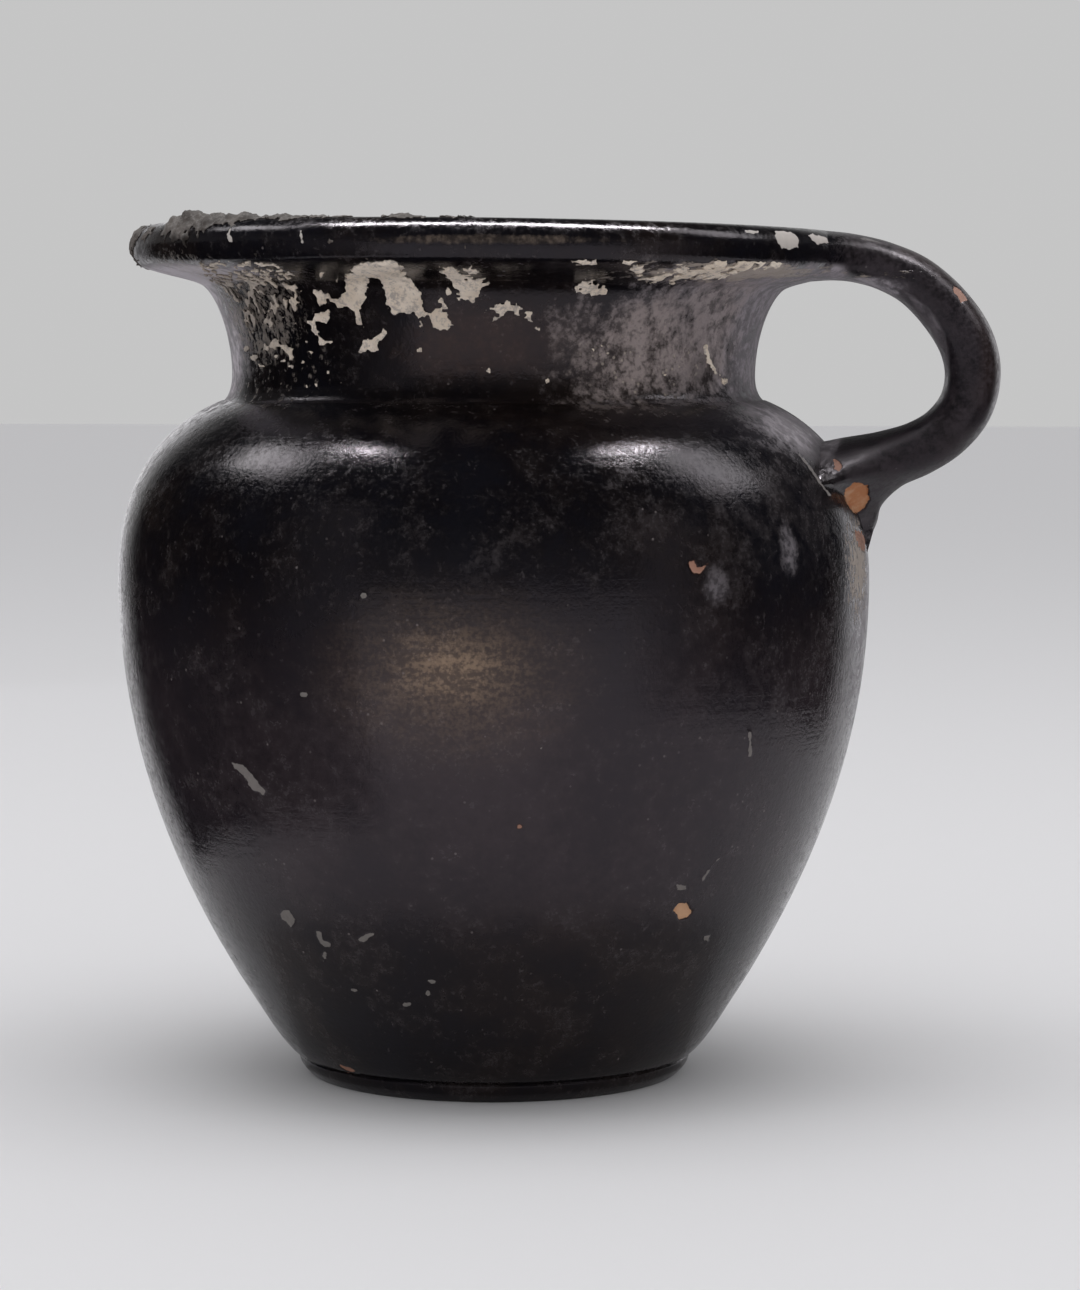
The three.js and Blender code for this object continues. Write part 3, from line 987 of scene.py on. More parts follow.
    def bare_clay(
        self, s: Shader, colour: Link, grain: Link, lumps: Link,
    ) -> Tuple[Link, Link]:
        """Shows the clay in the chips and on the unglazed rest, and lays the flecks.

        Args:
            s: The shader.
            colour: The colour so far.
            grain: Fine noise.
            lumps: Coarse noise.

        Returns:
            Where the surface is no longer glazed, and the colour with it.
        """
        height = s.height()
        under = 1.0 - s.rise(height, 0.15 * MM, 0.5 * MM)
        rest = under * s.cloud(Vector((0, 0, 0)), (24.5 * MM, 24.5 * MM, 5 * MM), 0.06)
        colour = s.mix(rest, colour, s.mix(s.rise(lumps, 0.35, 0.65), self.clay, self.dull_clay))
        clay = s.painted(Paint.CLAY)
        scrape = s.painted(Paint.SCRAPE)
        fleck = s.painted(Paint.FLAKE)
        halo = s.rise(clay.most(scrape), 0.02, 0.2)
        chip = s.rise(clay + (grain - 0.5) * 0.4, 0.42, 0.56)
        scraped = s.rise(scrape + (grain - 0.5) * 1.0, 0.42, 0.62)
        spot = s.rise(fleck + (grain - 0.5) * 1.4, 0.42, 0.66)
        colour = s.mix(halo * 0.6, colour, self.chip_edge)
        colour = s.mix(chip, colour, s.mix(s.rise(lumps, 0.42, 0.56), self.clay, self.pale_clay))
        colour = s.mix(scraped * 0.8, colour, self.scrape)
        worn_through = 0.3 + 0.57 * s.rise(height, 90 * MM, 100 * MM)
        colour = s.mix(spot * worn_through, colour, s.mix(grain, self.fleck, self.pale_fleck))
        return chip.most(spot).most(scraped).most(rest), colour


@dataclass(frozen=True)
class LimeCrust:
    """Dull cream lime with brown soil in its hollows, and painted shade below the lip's crown where
    that is set.
    """

    name: str = "lime_crust"
    pale: Colour = (0.79, 0.69, 0.59)
    tan: Colour = (0.56, 0.45, 0.34)
    grey: Colour = (0.27, 0.24, 0.235)
    old: Colour = (0.2, 0.175, 0.163)
    # Painted shade under the lip's crown, over soil that is dark too.
    shaded_soil: Colour = (0.02, 0.0155, 0.0135)
    tan_share: float = 0.45
    side: float = 0.7
    # How much painted shade falls under the lip's crown.
    crown_shade: float = 0.0

    def build(self) -> bpy.types.Material:
        """Builds the material.

        Returns:
            The crust's finish.
        """
        s = Shader(self.name)
        fine = s.noise(0.35 * MM, 4.0, 0.65)
        grain = s.noise(1.1 * MM, 5.0, 0.62)
        lumps = s.noise(6 * MM, 4.0)
        colour = s.mix(s.rise(lumps, 0.42, 0.62) * self.tan_share, self.pale, self.tan)
        colour = s.mix(s.rise(grain * 0.6 + fine * 0.4, 0.48, 0.6) * 0.65, colour, self.grey)
        aged = s.zone(Place.OLD_CRUST, 0.0, 0.8)
        colour = s.mix(aged * self.side, colour, self.old)
        # Painted shade: darker below the crown's edge, on the band's front, as in shadow; the soil
        # there is dark too.
        crown_shade_mask = s.rise(s.height() + (grain - 0.5) * 3 * MM, 115.9 * MM, 114.4 * MM)
        crown_shade_mask = crown_shade_mask * s.zone(Place.CROWN_SHADE, 0.0, 0.12)
        colour = s.mix(crown_shade_mask * self.crown_shade, colour, self.shaded_soil)
        normal = s.bump(fine * 0.5 + grain * 0.5, 0.16 * MM)
        s.feed(Base_Color=colour, Roughness=0.9 + (fine - 0.5) * 0.1, Normal=normal)
        s.feed(Specular_IOR_Level=0.3)
        return s.material


def curve(*knots: Point2, steps: int = 16) -> List[Point2]:
    """Gives points on a curve, in metres.

    Args:
        knots: The start, the two handles and the end, as radius and height in millimetres.
        steps: How many points it has.

    Returns:
        The points, both ends with them.
    """
    ends = [Vector((r * MM, z * MM, 0)) for r, z in knots]
    return [(p.x, p.y) for p in interpolate_bezier(*ends, steps)]


def joined(*stretches: List[Point2]) -> List[Point2]:
    """Joins stretches of an outline, leaving out a point that is there twice."""
    points: List[Point2] = []
    for point in (p for stretch in stretches for p in stretch):
        if not points or math.dist(point, points[-1]) > 1e-7:
            points.append(point)
    return points


@dataclass(frozen=True)
class WallShape:
    """The thrown wall's outline, in millimetres of radius and height, as the solids have it."""

    foot_rest: float = 25.7
    foot_top: float = 27.3
    foot_height: float = 2.9
    wall_start: float = 27.7
    belly: float = 51.95
    belly_height: float = 68.6
    crease: float = 37.6
    crease_height: float = 93.2
    throat: float = 36.1
    throat_height: float = 96.6
    collar: float = 40.2
    collar_height: float = 109.0
    lip: float = 49.6
    lip_edge: float = 48.3
    lip_edge_height: float = 111.4
    lip_band: float = 113.9
    lip_crown: float = 46.3
    lip_top: float = 117.0
    wall: float = 3.85
    floor: float = 6.6
    crease_inner: float = 33.2
    throat_inner: float = 32.4
    collar_inner: float = 34.9
    handle_dip: float = 0.9

    def belly_outside(self) -> List[Point2]:
        """Gives the outer wall from the foot up to the crease."""
        start = (self.wall_start, self.foot_height)
        low = (33.0, 9.8)
        widest = (self.belly, self.belly_height)
        crease = (self.crease, self.crease_height)
        return joined(
            curve(start, (29.4, 4.1), (31.5, 7.4), low, steps=12),
            curve(low, (42.7, 24.7), (self.belly, 44.2), widest, steps=72),
            curve(widest, (self.belly, 81.1), (46.7, 89.4), crease, steps=40),
        )

    def neck_outside(self) -> List[Point2]:
        """Gives the collar's outside from the crease up."""
        start = (self.crease - 0.3, self.crease_height)
        throat = (self.throat, self.throat_height)
        top = (self.collar, self.collar_height)
        return joined(
            curve(start, (36.7, 93.6), (self.throat, 94.9), throat, steps=10),
            curve(throat, (self.throat, 102.4), (38.3, 107.9), top, steps=28),
        )

    def lip_outside(self) -> List[Point2]:
        """Gives the lip's underside, band and crown."""
        start = (self.collar, self.collar_height)
        edge = (self.lip_edge, self.lip_edge_height)
        band = (self.lip, self.lip_band)
        crown = (self.lip_crown, self.lip_top)
        return joined(
            curve(start, (41.6, 109.8), (45.4, 110.3), edge, steps=20),
            curve(edge, (49.2, 111.8), (self.lip, 112.6), band, steps=12),
            curve(band, (self.lip, 115.7), (48.3, self.lip_top), crown, steps=18),
        )

    def lip_inside(self) -> List[Point2]:
        """Gives the lip's inside, downwards."""
        start = (self.lip_crown, self.lip_top)
        end = (self.collar_inner, self.collar_height)
        return joined(
            curve(start, (43.9, self.lip_top), (41.4, 115.3), (38.9, 112.6), steps=16),
            curve((38.9, 112.6), (37.6, 111.3), (36.0, 110.2), end, steps=8),
        )

    def neck_inside(self) -> List[Point2]:
        """Gives the collar's inside, downwards."""
        start = (self.collar_inner, self.collar_height)
        throat = (self.throat_inner, 97.5)
        end = (self.crease_inner, self.crease_height)
        return joined(
            curve(start, (33.2, 106.0), (self.throat_inner, 101.5), throat, steps=16),
            curve(throat, (self.throat_inner, 95.5), (32.6, 94.2), end, steps=8),
        )

    def belly_inside(self) -> List[Point2]:
        """Gives the belly's inside, downwards, to the floor."""
        inner = self.belly - self.wall
        widest = (inner, self.belly_height)
        heel = (28.6, 9.6)
        start = (self.crease_inner, self.crease_height)
        return joined(
            curve(start, (41.5, 88.2), (inner, 79.2), widest, steps=14),
            curve(widest, (inner, 45.0), (39.5, 27.5), heel, steps=22),
            curve(heel, (27.0, 7.2), (24.0, self.floor), (18.0, self.floor), steps=10),
        )

    def hand(self, point: Vector) -> Vector:
        """Moves a point of the true turned shape to where the potter's hand left it.

        Args:
            point: A point of the turned wall.

        Returns:
            The point, a little out of round and with the mouth lower by the handle.
        """
        azimuth = math.atan2(point.y, point.x)
        upper = max(0.0, point.z / MM - self.crease_height) / (self.lip_top - self.crease_height)
        dip = self.handle_dip * ((1 + math.cos(azimuth)) / 2) ** 3 * upper
        wave = 0.1 * math.sin(2 * azimuth + 0.6) * upper
        place = Vector((math.cos(azimuth) * 0.9, math.sin(azimuth) * 0.9, point.z / (34 * MM)))
        swell = 0.9985 + 0.002 * noise.noise(place)
        rings = 1 + 0.00035 * noise.noise(Vector((0.7, azimuth * 0.15, point.z / (1.5 * MM))))
        keep = smoothstep(point.z, 0.2 * MM, 4 * MM)
        scale = 1 + (swell * rings - 1) * keep
        return Vector((point.x * scale, point.y * scale, point.z + (wave * keep - dip) * MM))


def new_object(
    name: str, bm: bmesh.types.BMesh, finish: bpy.types.Material,
) -> bpy.types.Object:
    """Makes an object of a mesh.

    Args:
        name: The object's name.
        bm: Its mesh, which is freed.
        finish: Its material.

    Returns:
        The object, at the origin of the scene.
    """
    mesh = bpy.data.meshes.new(name)
    bm.to_mesh(mesh)
    bm.free()
    mesh.materials.append(finish)
    made = bpy.data.objects.new(name, mesh)
    bpy.context.scene.collection.objects.link(made)
    return made


def new_piece(
    name: str, bm: bmesh.types.BMesh, slot: Slot, finish: bpy.types.Material,
) -> bpy.types.Object:
    """Makes a finished piece of a mesh.

    Args:
        name: The piece's name.
        bm: Its mesh, which is freed.
        slot: The record's slot that it would take its finish from; not used.
        finish: Its material.

    Returns:
        The piece, at the origin, riding on the jug.
    """
    for face in bm.faces:
        face.smooth = True
    for edge in bm.edges:
        edge.smooth = edge.calc_face_angle(0.0) < math.radians(SHARP_DEG)
    piece = new_object(name, bm, finish)
    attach(piece, "root")
    LOG.info("%s: %d faces", name, len(piece.data.polygons))
    return piece


class Painter:
    """Puts the chips and flecks of the picture on a mesh."""

    def __init__(self, camera: PictureCamera) -> None:
        """Keeps the view of the picture.

        Args:
            camera: The picture's camera.
        """
        self.view = Projector(camera)
        self.cuts = 4
        self.margin = 4.0
        self.chip_depth = 0.32 * MM
        self.fleck_height = 0.07 * MM

    def paint(self, bm: bmesh.types.BMesh) -> None:
        """Refines the mesh where an outline falls on it, then sinks chips and raises flecks.

        Args:
            bm: The piece's mesh, with its normals right.
        """
        layers = {paint: bm.verts.layers.float.new(paint.value) for paint in Paint}
        for name, (paint, outline) in PAINTED.items():
            box = outline.box(self.margin)
            edges = {edge for face in bm.faces if self._meets(face, box) for edge in face.edges}
            if not edges:
                continue
            bmesh.ops.subdivide_edges(bm, edges=list(edges), cuts=self.cuts, use_grid_fill=True)
            bm.normal_update()
            marked = self._mark(bm, box, outline, layers[paint])
            LOG.info("  %s: %d points", name, marked)
        bm.normal_update()
        for vert in bm.verts:
            sunk = (vert[layers[Paint.CLAY]] + vert[layers[Paint.SCRAPE]] * 0.4) * self.chip_depth
            raised = vert[layers[Paint.FLAKE]] * self.fleck_height
            if sunk or raised:
                vert.co += vert.normal * (raised - sunk)

    def _meets(self, face: bmesh.types.BMFace, box: Box) -> bool:
        """Says whether a face that looks towards the camera falls in a box of pixels."""
        middle = face.calc_center_median()
        if not self.view.faces(middle, face.normal):
            return False
        return in_box(box, *self.view.pixel(middle))

    def _mark(
        self,
        bm: bmesh.types.BMesh,
        box: Box,
        outline: Outline,
        layer: bmesh.types.BMLayerItem,
    ) -> int:
        """Marks the points inside an outline and gives how many there are."""
        count = 0
        for vert in bm.verts:
            x, y = self.view.pixel(vert.co)
            if in_box(box, x, y) and self.view.faces(vert.co, vert.normal):
                ragged = outline.depth(x, y) + 1.7 * fractal(vert.co, 1.0 * MM, 4)
                amount = smoothstep(ragged, -1.0, 0.8)
                vert[layer] = max(vert[layer], amount)
                count += amount > 0.5
        return count


@dataclass
class ThrownWall:
    """The foot, body, neck and lip: everything that was turned on the wheel."""

    shape: WallShape
    finish: bpy.types.Material
    painter: Painter
    turns: int = 320

    def build(self) -> Dict[str, bpy.types.Object]:
        """Builds the four turned pieces.

        Returns:
            The pieces by name.
        """
        shape = self.shape
        rest = (shape.foot_rest, 0.0)
        top = (shape.foot_top, 2.5)
        foot = joined(
            self.underside(),
            curve(rest, (26.2, 0.4), (shape.foot_top, 1.3), top, steps=12),
            [((shape.foot_top - 0.35) * MM, shape.foot_height * MM), (0.0, shape.foot_height * MM)],
        )
        body = joined(
            [(0.0, shape.foot_height * MM)], shape.belly_outside(), shape.belly_inside(),
            [(9 * MM, shape.floor * MM), (0.0, (shape.floor + 0.3) * MM)],
        )
        neck_out, neck_in = shape.neck_outside(), shape.neck_inside()
        neck = joined(neck_out, neck_in, neck_out[:1])
        lip = joined(shape.lip_outside(), shape.lip_inside(), shape.lip_outside()[:1])
        outlines = {"foot": foot, "body": body, "neck": neck, "lip": lip}
        return {name: self.turn(name, points) for name, points in outlines.items()}

    def underside(self) -> List[Point2]:
        """Gives the flat underside with a few turning marks.

        Returns:
            The outline from the axis to the edge of the foot.
        """
        depth = 0.18 * MM
        marks = (6.0, 11.5, 12.6, 18.0, 22.4)
        half = 0.35 * MM
        points: List[Point2] = [(0.0, 0.0)]
        for mark in marks:
            middle = mark * MM
            points += [(middle - half, 0.0), (middle, depth), (middle + half, 0.0)]
        points.append(((self.shape.foot_rest - 0.4) * MM, 0.0))
        return points

    def turn(self, name: str, points: List[Point2]) -> bpy.types.Object:
        """Turns one outline about the axis and finishes the piece.

        Args:
            name: The piece's name, and its CAD node's.
            points: The outline.

        Returns:
            The piece.
        """
        bm = bmesh.new()
        verts = [bm.verts.new((r, 0.0, z)) for r, z in points]
        edges = [bm.edges.new(pair) for pair in zip(verts, verts[1:])]
        bmesh.ops.spin(
            bm, geom=verts + edges, cent=(0, 0, 0), axis=(0, 0, 1), dvec=(0, 0, 0),
            angle=2 * math.pi, steps=self.turns, use_merge=True, use_duplicate=False)
        bmesh.ops.remove_doubles(bm, verts=bm.verts, dist=1e-6)
        for vert in bm.verts:
            vert.co = self.shape.hand(vert.co)
        bmesh.ops.recalc_face_normals(bm, faces=bm.faces)
        self.painter.paint(bm)
        piece = new_piece(name + "_fine", bm, Slot.GLAZE, self.finish)
        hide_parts(name)
        return piece


@dataclass(frozen=True)
class Station:
    """One place along the strap, in millimetres."""

    x: float
    z: float
    half_width: float
    half_thickness: float
    taper: float = 0.0


@dataclass
class StrapHandle:
    """The pulled strap with the clay that spreads from it on to the lip and the shoulder."""

    shape: WallShape
    finish: bpy.types.Material
    painter: Painter
    sides: int = 56
    squareness: float = 3.0
    upper_end: float = 2.6
    lower_start: float = 10.4
    blend: float = 3.4 * MM
    blend_share: float = 0.12
    thin_end: float = 1.1
    sink: float = 1.5
    wrap_start: float = 0.02
    wrap_end: float = 0.7
    stations: Tuple[Station, ...] = (
        Station(43.0, 112.9, 21.0, 3.4),
        Station(46.5, 112.9, 16.2, 3.3),
        Station(50.0, 112.5, 11.4, 3.25),
        Station(54.0, 111.4, 8.9, 3.3),
        Station(58.2, 109.3, 8.2, 3.5),
        Station(62.0, 105.7, 7.9, 3.7),
        Station(64.8, 101.4, 7.8, 3.8),
        Station(65.8, 97.0, 7.8, 3.8),
        Station(64.9, 92.6, 7.9, 3.75),
        Station(62.2, 89.1, 8.1, 3.7),
        Station(58.6, 86.8, 8.6, 3.8, 0.05),
        Station(54.45, 85.2, 9.7, 4.15, 0.2),
        Station(50.7, 83.4, 13.0, 5.5, 0.5),
        Station(48.1, 81.6, 17.0, 7.5, 0.8),
        Station(45.4, 79.6, 18.5, 10.1, 0.85),
    )

    def value(self, name: str, place: float) -> float:
        """Reads a smooth value between the stations.

        Args:
            name: The station's field.
            place: How many stations along.

        Returns:
            The value there.
        """
        last = len(self.stations) - 1
        left = max(0, min(last - 1, int(place)))
        part = place - left
        a, b, c, d = (
            getattr(self.stations[max(0, min(last, left + step))], name) for step in (-1, 0, 1, 2))
        return b + 0.5 * part * (
            c - a + part * (2 * a - 5 * b + 4 * c - d + part * (3 * (b - c) + d - a)))

    def point(self, place: float, across: float, inward: float) -> Vector:
        """Gives a point of the strap's skin.

        Args:
            place: How many stations along.
            across: From -1 to 1 over the width.
            inward: From -1 on the outer face to 1 on the face of the loop.

        Returns:
            The point, in metres.
        """
        step = 0.02
        run_x = self.value("x", place + step) - self.value("x", place - step)
        run_z = self.value("z", place + step) - self.value("z", place - step)
        length = math.hypot(run_x, run_z)
        taper = self.value("taper", place)
        drawn_in = 1 - taper * max(0.0, -inward) ** 2
        thinned = 1 - self.thin_end * taper * across * across
        thick = inward * thinned * self.value("half_thickness", place)
        sunk = self.sink * taper * across * across
        x = self.value("x", place) + run_z / length * thick - sunk
        y = across * drawn_in * self.value("half_width", place)
        wrapped = smoothstep(taper, self.wrap_start, self.wrap_end)
        turn = wrapped * y / x
        return Vector((
            x * math.cos(turn),
            x * math.sin(turn) + (1 - wrapped) * y,
            self.value("z", place) - run_x / length * thick,
        )) * MM

    def stretch(self, name: str, start: float, end: float, rings: int) -> bpy.types.Object:
        """Builds one stretch of the strap.

        Args:
            name: The piece's name, and its CAD node's.
            start: Where it starts, in stations.
            end: Where it ends.
            rings: How many rings it has.

        Returns:
            The piece.
        """
        bm = bmesh.new()
        bmesh.ops.create_cone(
            bm, cap_ends=True, cap_tris=False, segments=self.sides, radius1=1, radius2=1, depth=1)
        long_edges = [e for e in bm.edges if abs(e.verts[0].co.z - e.verts[1].co.z) > 0.5]
        bmesh.ops.subdivide_edges(bm, edges=long_edges, cuts=rings)
        for vert in bm.verts:
            place = start + (end - start) * (vert.co.z + 0.5)
            across = self.squared(vert.co.x)
            inward = self.squared(vert.co.y)
            point = self.point(place, across, inward)
            pulled = 0.99 + 0.02 * noise.noise(point / (9 * MM))
            drawn = self.point(place, across * pulled, inward * pulled)
            vert.co = self.set_in_wall(self.spread(drawn))
        bmesh.ops.recalc_face_normals(bm, faces=bm.faces)
        self.painter.paint(bm)
        piece = new_piece(name + "_fine", bm, Slot.GLAZE, self.finish)
        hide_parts(name)
        return piece

    def squared(self, value: float) -> float:
        """Squares a circle's coordinate off towards a rounded rectangle."""
        return math.copysign(abs(value) ** (2 / self.squareness), value)

    def wall_radius(self, height: float) -> float:
        """Gives the belly's outer radius at a height, both in metres."""
        skin = self.shape.belly_outside()
        return next((radius for radius, z in skin if z >= height), skin[-1][0])

    def spread(self, point: Vector) -> Vector:
        """Spreads the clay sideways where it meets the shoulder.

        Args:
            point: A point of the strap's skin.

        Returns:
            The point, moved out from the strap's middle plane if it is near the wall.
        """
        if point.z / MM > self.shape.crease_height:
            return point
        gap = math.hypot(point.x, point.y) - self.wall_radius(point.z)
        near = max(0.0, min(1.0, 1 - gap / self.blend))
        return Vector((point.x, point.y * (1 + self.blend_share * near * near), point.z))

    def set_in_wall(self, point: Vector) -> Vector:
        """Keeps a point that lies inside the wall from coming out of its inner face.

        Args:
            point: A point of the root's skin.

        Returns:
            The point, no deeper than half the wall.
        """
        radius = math.hypot(point.x, point.y)
        least = self.wall_radius(point.z) - self.shape.wall * MM / 2
        if point.z / MM > self.shape.crease_height or radius >= least:
            return point
        return Vector((point.x * least / radius, point.y * least / radius, point.z))

    def build(self) -> Dict[str, bpy.types.Object]:
        """Builds the strap and its two roots.

        Returns:
            The pieces by name.
        """
        last = len(self.stations) - 1.0
        return {
            "upper_handle_root": self.stretch("upper_handle_root", 0.0, self.upper_end, 24),
            "handle": self.stretch("handle", self.upper_end, self.lower_start, 84),
            "lower_handle_root": self.stretch("lower_handle_root", self.lower_start, last, 44),
        }


@dataclass(frozen=True)
class Mound:
    """One soft heap of crust, by its middle and reach over the unrolled wall."""

    turn: float
    along: float
    half_turn: float
    half_along: float
    height: float

    def rise(self, turn: float, along: float) -> float:
        """Gives its height over a point, in millimetres."""
        across = (turn - self.turn) / self.half_turn
        up = (along - self.along) / self.half_along
        return self.height * math.exp(-(across * across + up * up))


@dataclass
class Crust:
    """Lime and soil that grew on the jug in the ground."""

    shape: WallShape
    camera: PictureCamera
    lime: bpy.types.Material
    soil: bpy.types.Material
    cell: float = 0.17 * MM
    scab_turns: Tuple[float, float] = (-84.0, 74.0)
    scab_share: float = 0.58
    thickness: float = 0.3 * MM
    backing: float = 0.22 * MM
    bank_turns: Tuple[float, float] = (-112.0, 4.0)
    bank_reach: Tuple[float, float] = (24.5 * MM, 38.0 * MM)
    bank_cell: float = 0.2 * MM
    mounds: Tuple[Mound, ...] = (
        Mound(-61.0, 32.4, 2.2, 1.7, 0.85),
        Mound(-56.5, 32.7, 3.0, 1.8, 1.35),
        Mound(-50.5, 32.8, 3.2, 1.8, 0.9),
        Mound(-44.0, 33.0, 4.2, 1.8, 0.62),
        Mound(-36.0, 33.2, 5.0, 1.6, 0.5),
        Mound(-27.0, 33.6, 5.5, 1.2, 0.36),
        Mound(-14.5, 33.4, 3.2, 1.1, 0.6),
        Mound(-6.0, 33.6, 3.2, 1.0, 0.42),
        Mound(-54.0, 30.0, 4.4, 1.7, 0.34),
        Mound(-70.0, 30.6, 5.0, 1.2, 0.24),
        Mound(-84.0, 29.8, 8.0, 3.0, 0.4),
        Mound(-97.0, 29.4, 9.0, 3.4, 0.4),
    )
    wall: List[Point2] = field(default_factory=list)
    along: List[float] = field(default_factory=list)

    def __post_init__(self) -> None:
        """Works out the length along the wall from the crease over the lip's crown."""
        self.wall = joined(
            self.shape.neck_outside(), self.shape.lip_outside(), self.shape.lip_inside())
        self.along = [0.0]
        for before, after in zip(self.wall, self.wall[1:]):
            self.along.append(self.along[-1] + math.dist(before, after))

    def skin(self, turn: float, length: float) -> Tuple[Vector, Vector]:
        """Gives a point on the wall.

        Args:
            turn: Where it is round the axis, in degrees right of the camera's side.
            length: How far it is up the wall from the crease.

        Returns:
            The point and the wall's outward direction there.
        """
        azimuth = math.radians(turn + self.camera.azimuth_deg)
        i = max(1, bisect_left(self.along, length))
        i = min(i, len(self.along) - 1)
        (r0, z0), (r1, z1) = self.wall[i - 1], self.wall[i]
        step = self.along[i] - self.along[i - 1]
        part = (length - self.along[i - 1]) / step
        out_r, out_z = (z1 - z0) / step, -(r1 - r0) / step
        radius = r0 + (r1 - r0) * part
        height = z0 + (z1 - z0) * part
        outward = Vector((math.cos(azimuth) * out_r, math.sin(azimuth) * out_r, out_z))
        point = Vector((radius * math.cos(azimuth), radius * math.sin(azimuth), height))
        return self.shape.hand(point), outward

    def grow(
        self,
        name: str,
        turns: Tuple[float, float],
        reach: Tuple[float, float],
        cell: float,
        lift: Callable[[float, float, Vector], float],
        finish: bpy.types.Material,
    ) -> bpy.types.Object:
        """Grows a broken skin on the wall.

        Args:
            name: The piece's name.
            turns: Where it starts and ends round the axis, in degrees.
            reach: Where it starts and ends up the wall, in metres.
            cell: The size of its cells.
            lift: Gives the skin's height by turn, length and place, negative where it's bare.
            finish: Its material.

        Returns:
            The piece.
        """
        wide = math.radians(turns[1] - turns[0]) * self.shape.collar * MM
        columns, rows = int(wide / cell), int((reach[1] - reach[0]) / cell)
        bm = bmesh.new()
        bmesh.ops.create_grid(bm, x_segments=columns, y_segments=rows, size=0.5)
        height: Dict[bmesh.types.BMVert, float] = {}
        outward: Dict[bmesh.types.BMVert, Vector] = {}
        for vert in bm.verts:
            turn = turns[0] + (turns[1] - turns[0]) * (vert.co.x + 0.5)
            length = reach[0] + (reach[1] - reach[0]) * (vert.co.y + 0.5)
            point, outward[vert] = self.skin(turn, length)
            height[vert] = lift(turn, length, point)
            vert.co = point + outward[vert] * max(height[vert], -0.02 * MM)
        bare = [face for face in bm.faces if min(height[v] for v in face.verts) < 0]
        bmesh.ops.delete(bm, geom=bare, context="FACES")
        loose = [vert for vert in bm.verts if not vert.link_faces]
        bmesh.ops.delete(bm, geom=loose, context="VERTS")
        edge = [vert for vert in bm.verts if vert.is_boundary]
        for _ in range(2):
            bmesh.ops.smooth_vert(
                bm, verts=edge, factor=0.5, use_axis_x=True, use_axis_y=True, use_axis_z=True)
        bm.normal_update()
        turned_in = sum(face.normal.dot(outward[face.verts[0]]) < 0 for face in bm.faces)
        if turned_in * 2 > len(bm.faces):
            bmesh.ops.reverse_faces(bm, faces=bm.faces[:])
        bmesh.ops.solidify(bm, geom=bm.faces[:], thickness=self.backing)
        bmesh.ops.recalc_face_normals(bm, faces=bm.faces)
        return new_piece(name, bm, Slot.LIME, finish)

    def cover(self, x: float, y: float, point: Vector) -> float:
        """Measures how deep a point lies inside the scabs.

        Args:
            x: Its pixel across.
            y: Its pixel down.
            point: The point.

        Returns:
            The depth in pixels, negative off the scabs.
        """
        ragged = 3.4 * fractal(point, 1.6 * MM, 4) + 2.2 * fractal(point, 0.55 * MM, 3)
        deepest = -9.0
        for name, outline in SCABS.items():
            if in_box(outline.box(8), x, y):
                inside = outline.depth(x, y) + ragged
                if name in THIN_SCABS:
                    inside = min(inside, 2.4 + 14 * fractal(point, 1.5 * MM, 4))
                deepest = max(deepest, inside)
        for middle_x, middle_y, radius in SCAB_SPOTS:
            gap = radius - math.hypot(x - middle_x, y - middle_y)
            deepest = max(deepest, gap + ragged * 0.5)
        if in_box(BROKEN_CRUST.box(0), x, y):
            streaked = Vector((point.x, point.y, point.z * 0.7))
            holes = 15 * fractal(streaked, 1.1 * MM, 5) - 1.4
            deepest = max(deepest, min(BROKEN_CRUST.depth(x, y) * 0.7 + ragged, holes))
        return deepest

    def build_scabs(self) -> bpy.types.Object:
        """Builds the scabs on the neck and under the lip as one thin broken skin.

        Returns:
            The piece.
        """
        view = Projector(self.camera)
        lip_start = len(self.shape.neck_outside()) - 1
        lip_end = lip_start + len(self.shape.lip_outside()) - 1
        lip_length = self.along[lip_end] - self.along[lip_start]
        top = self.along[lip_start] + lip_length * self.scab_share

        def lift(turn: float, length: float, point: Vector) -> float:
            """Gives the scabs' height at a point."""
            x, y = view.pixel(point)
            depth = self.cover(x, y, point)
            if depth < -0.4:
                return -1.0
            full = smoothstep(depth, -0.4, 3.5)
            lumpy = 1 + 0.5 * fractal(point, 0.9 * MM)
            return self.thickness * (0.15 + 0.85 * full) * lumpy

        piece = self.grow(
            "neck_crust_scabs", self.scab_turns, (0.0, top), self.cell, lift, self.lime)
        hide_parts("neck_crust")
        return piece

    def build_rim(self) -> bpy.types.Object:
        """Builds the bank of soil and lime on the lip.

        Returns:
            The piece.
        """
        def lift(turn: float, length: float, point: Vector) -> float:
            """Gives the bank's height at a point."""
            heap = sum(mound.rise(turn, length / MM) for mound in self.mounds)
            rough = 0.5 * fractal(point, 2.2 * MM, 5) + 0.34 * fractal(point, 0.7 * MM, 3)
            height = heap * (1 + 0.6 * rough) + rough * 0.5 - 0.2
            return height * MM

        piece = self.grow(
            "rim_crust_bank", self.bank_turns, self.bank_reach, self.bank_cell, lift, self.soil)
        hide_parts("rim_crust")
        return piece


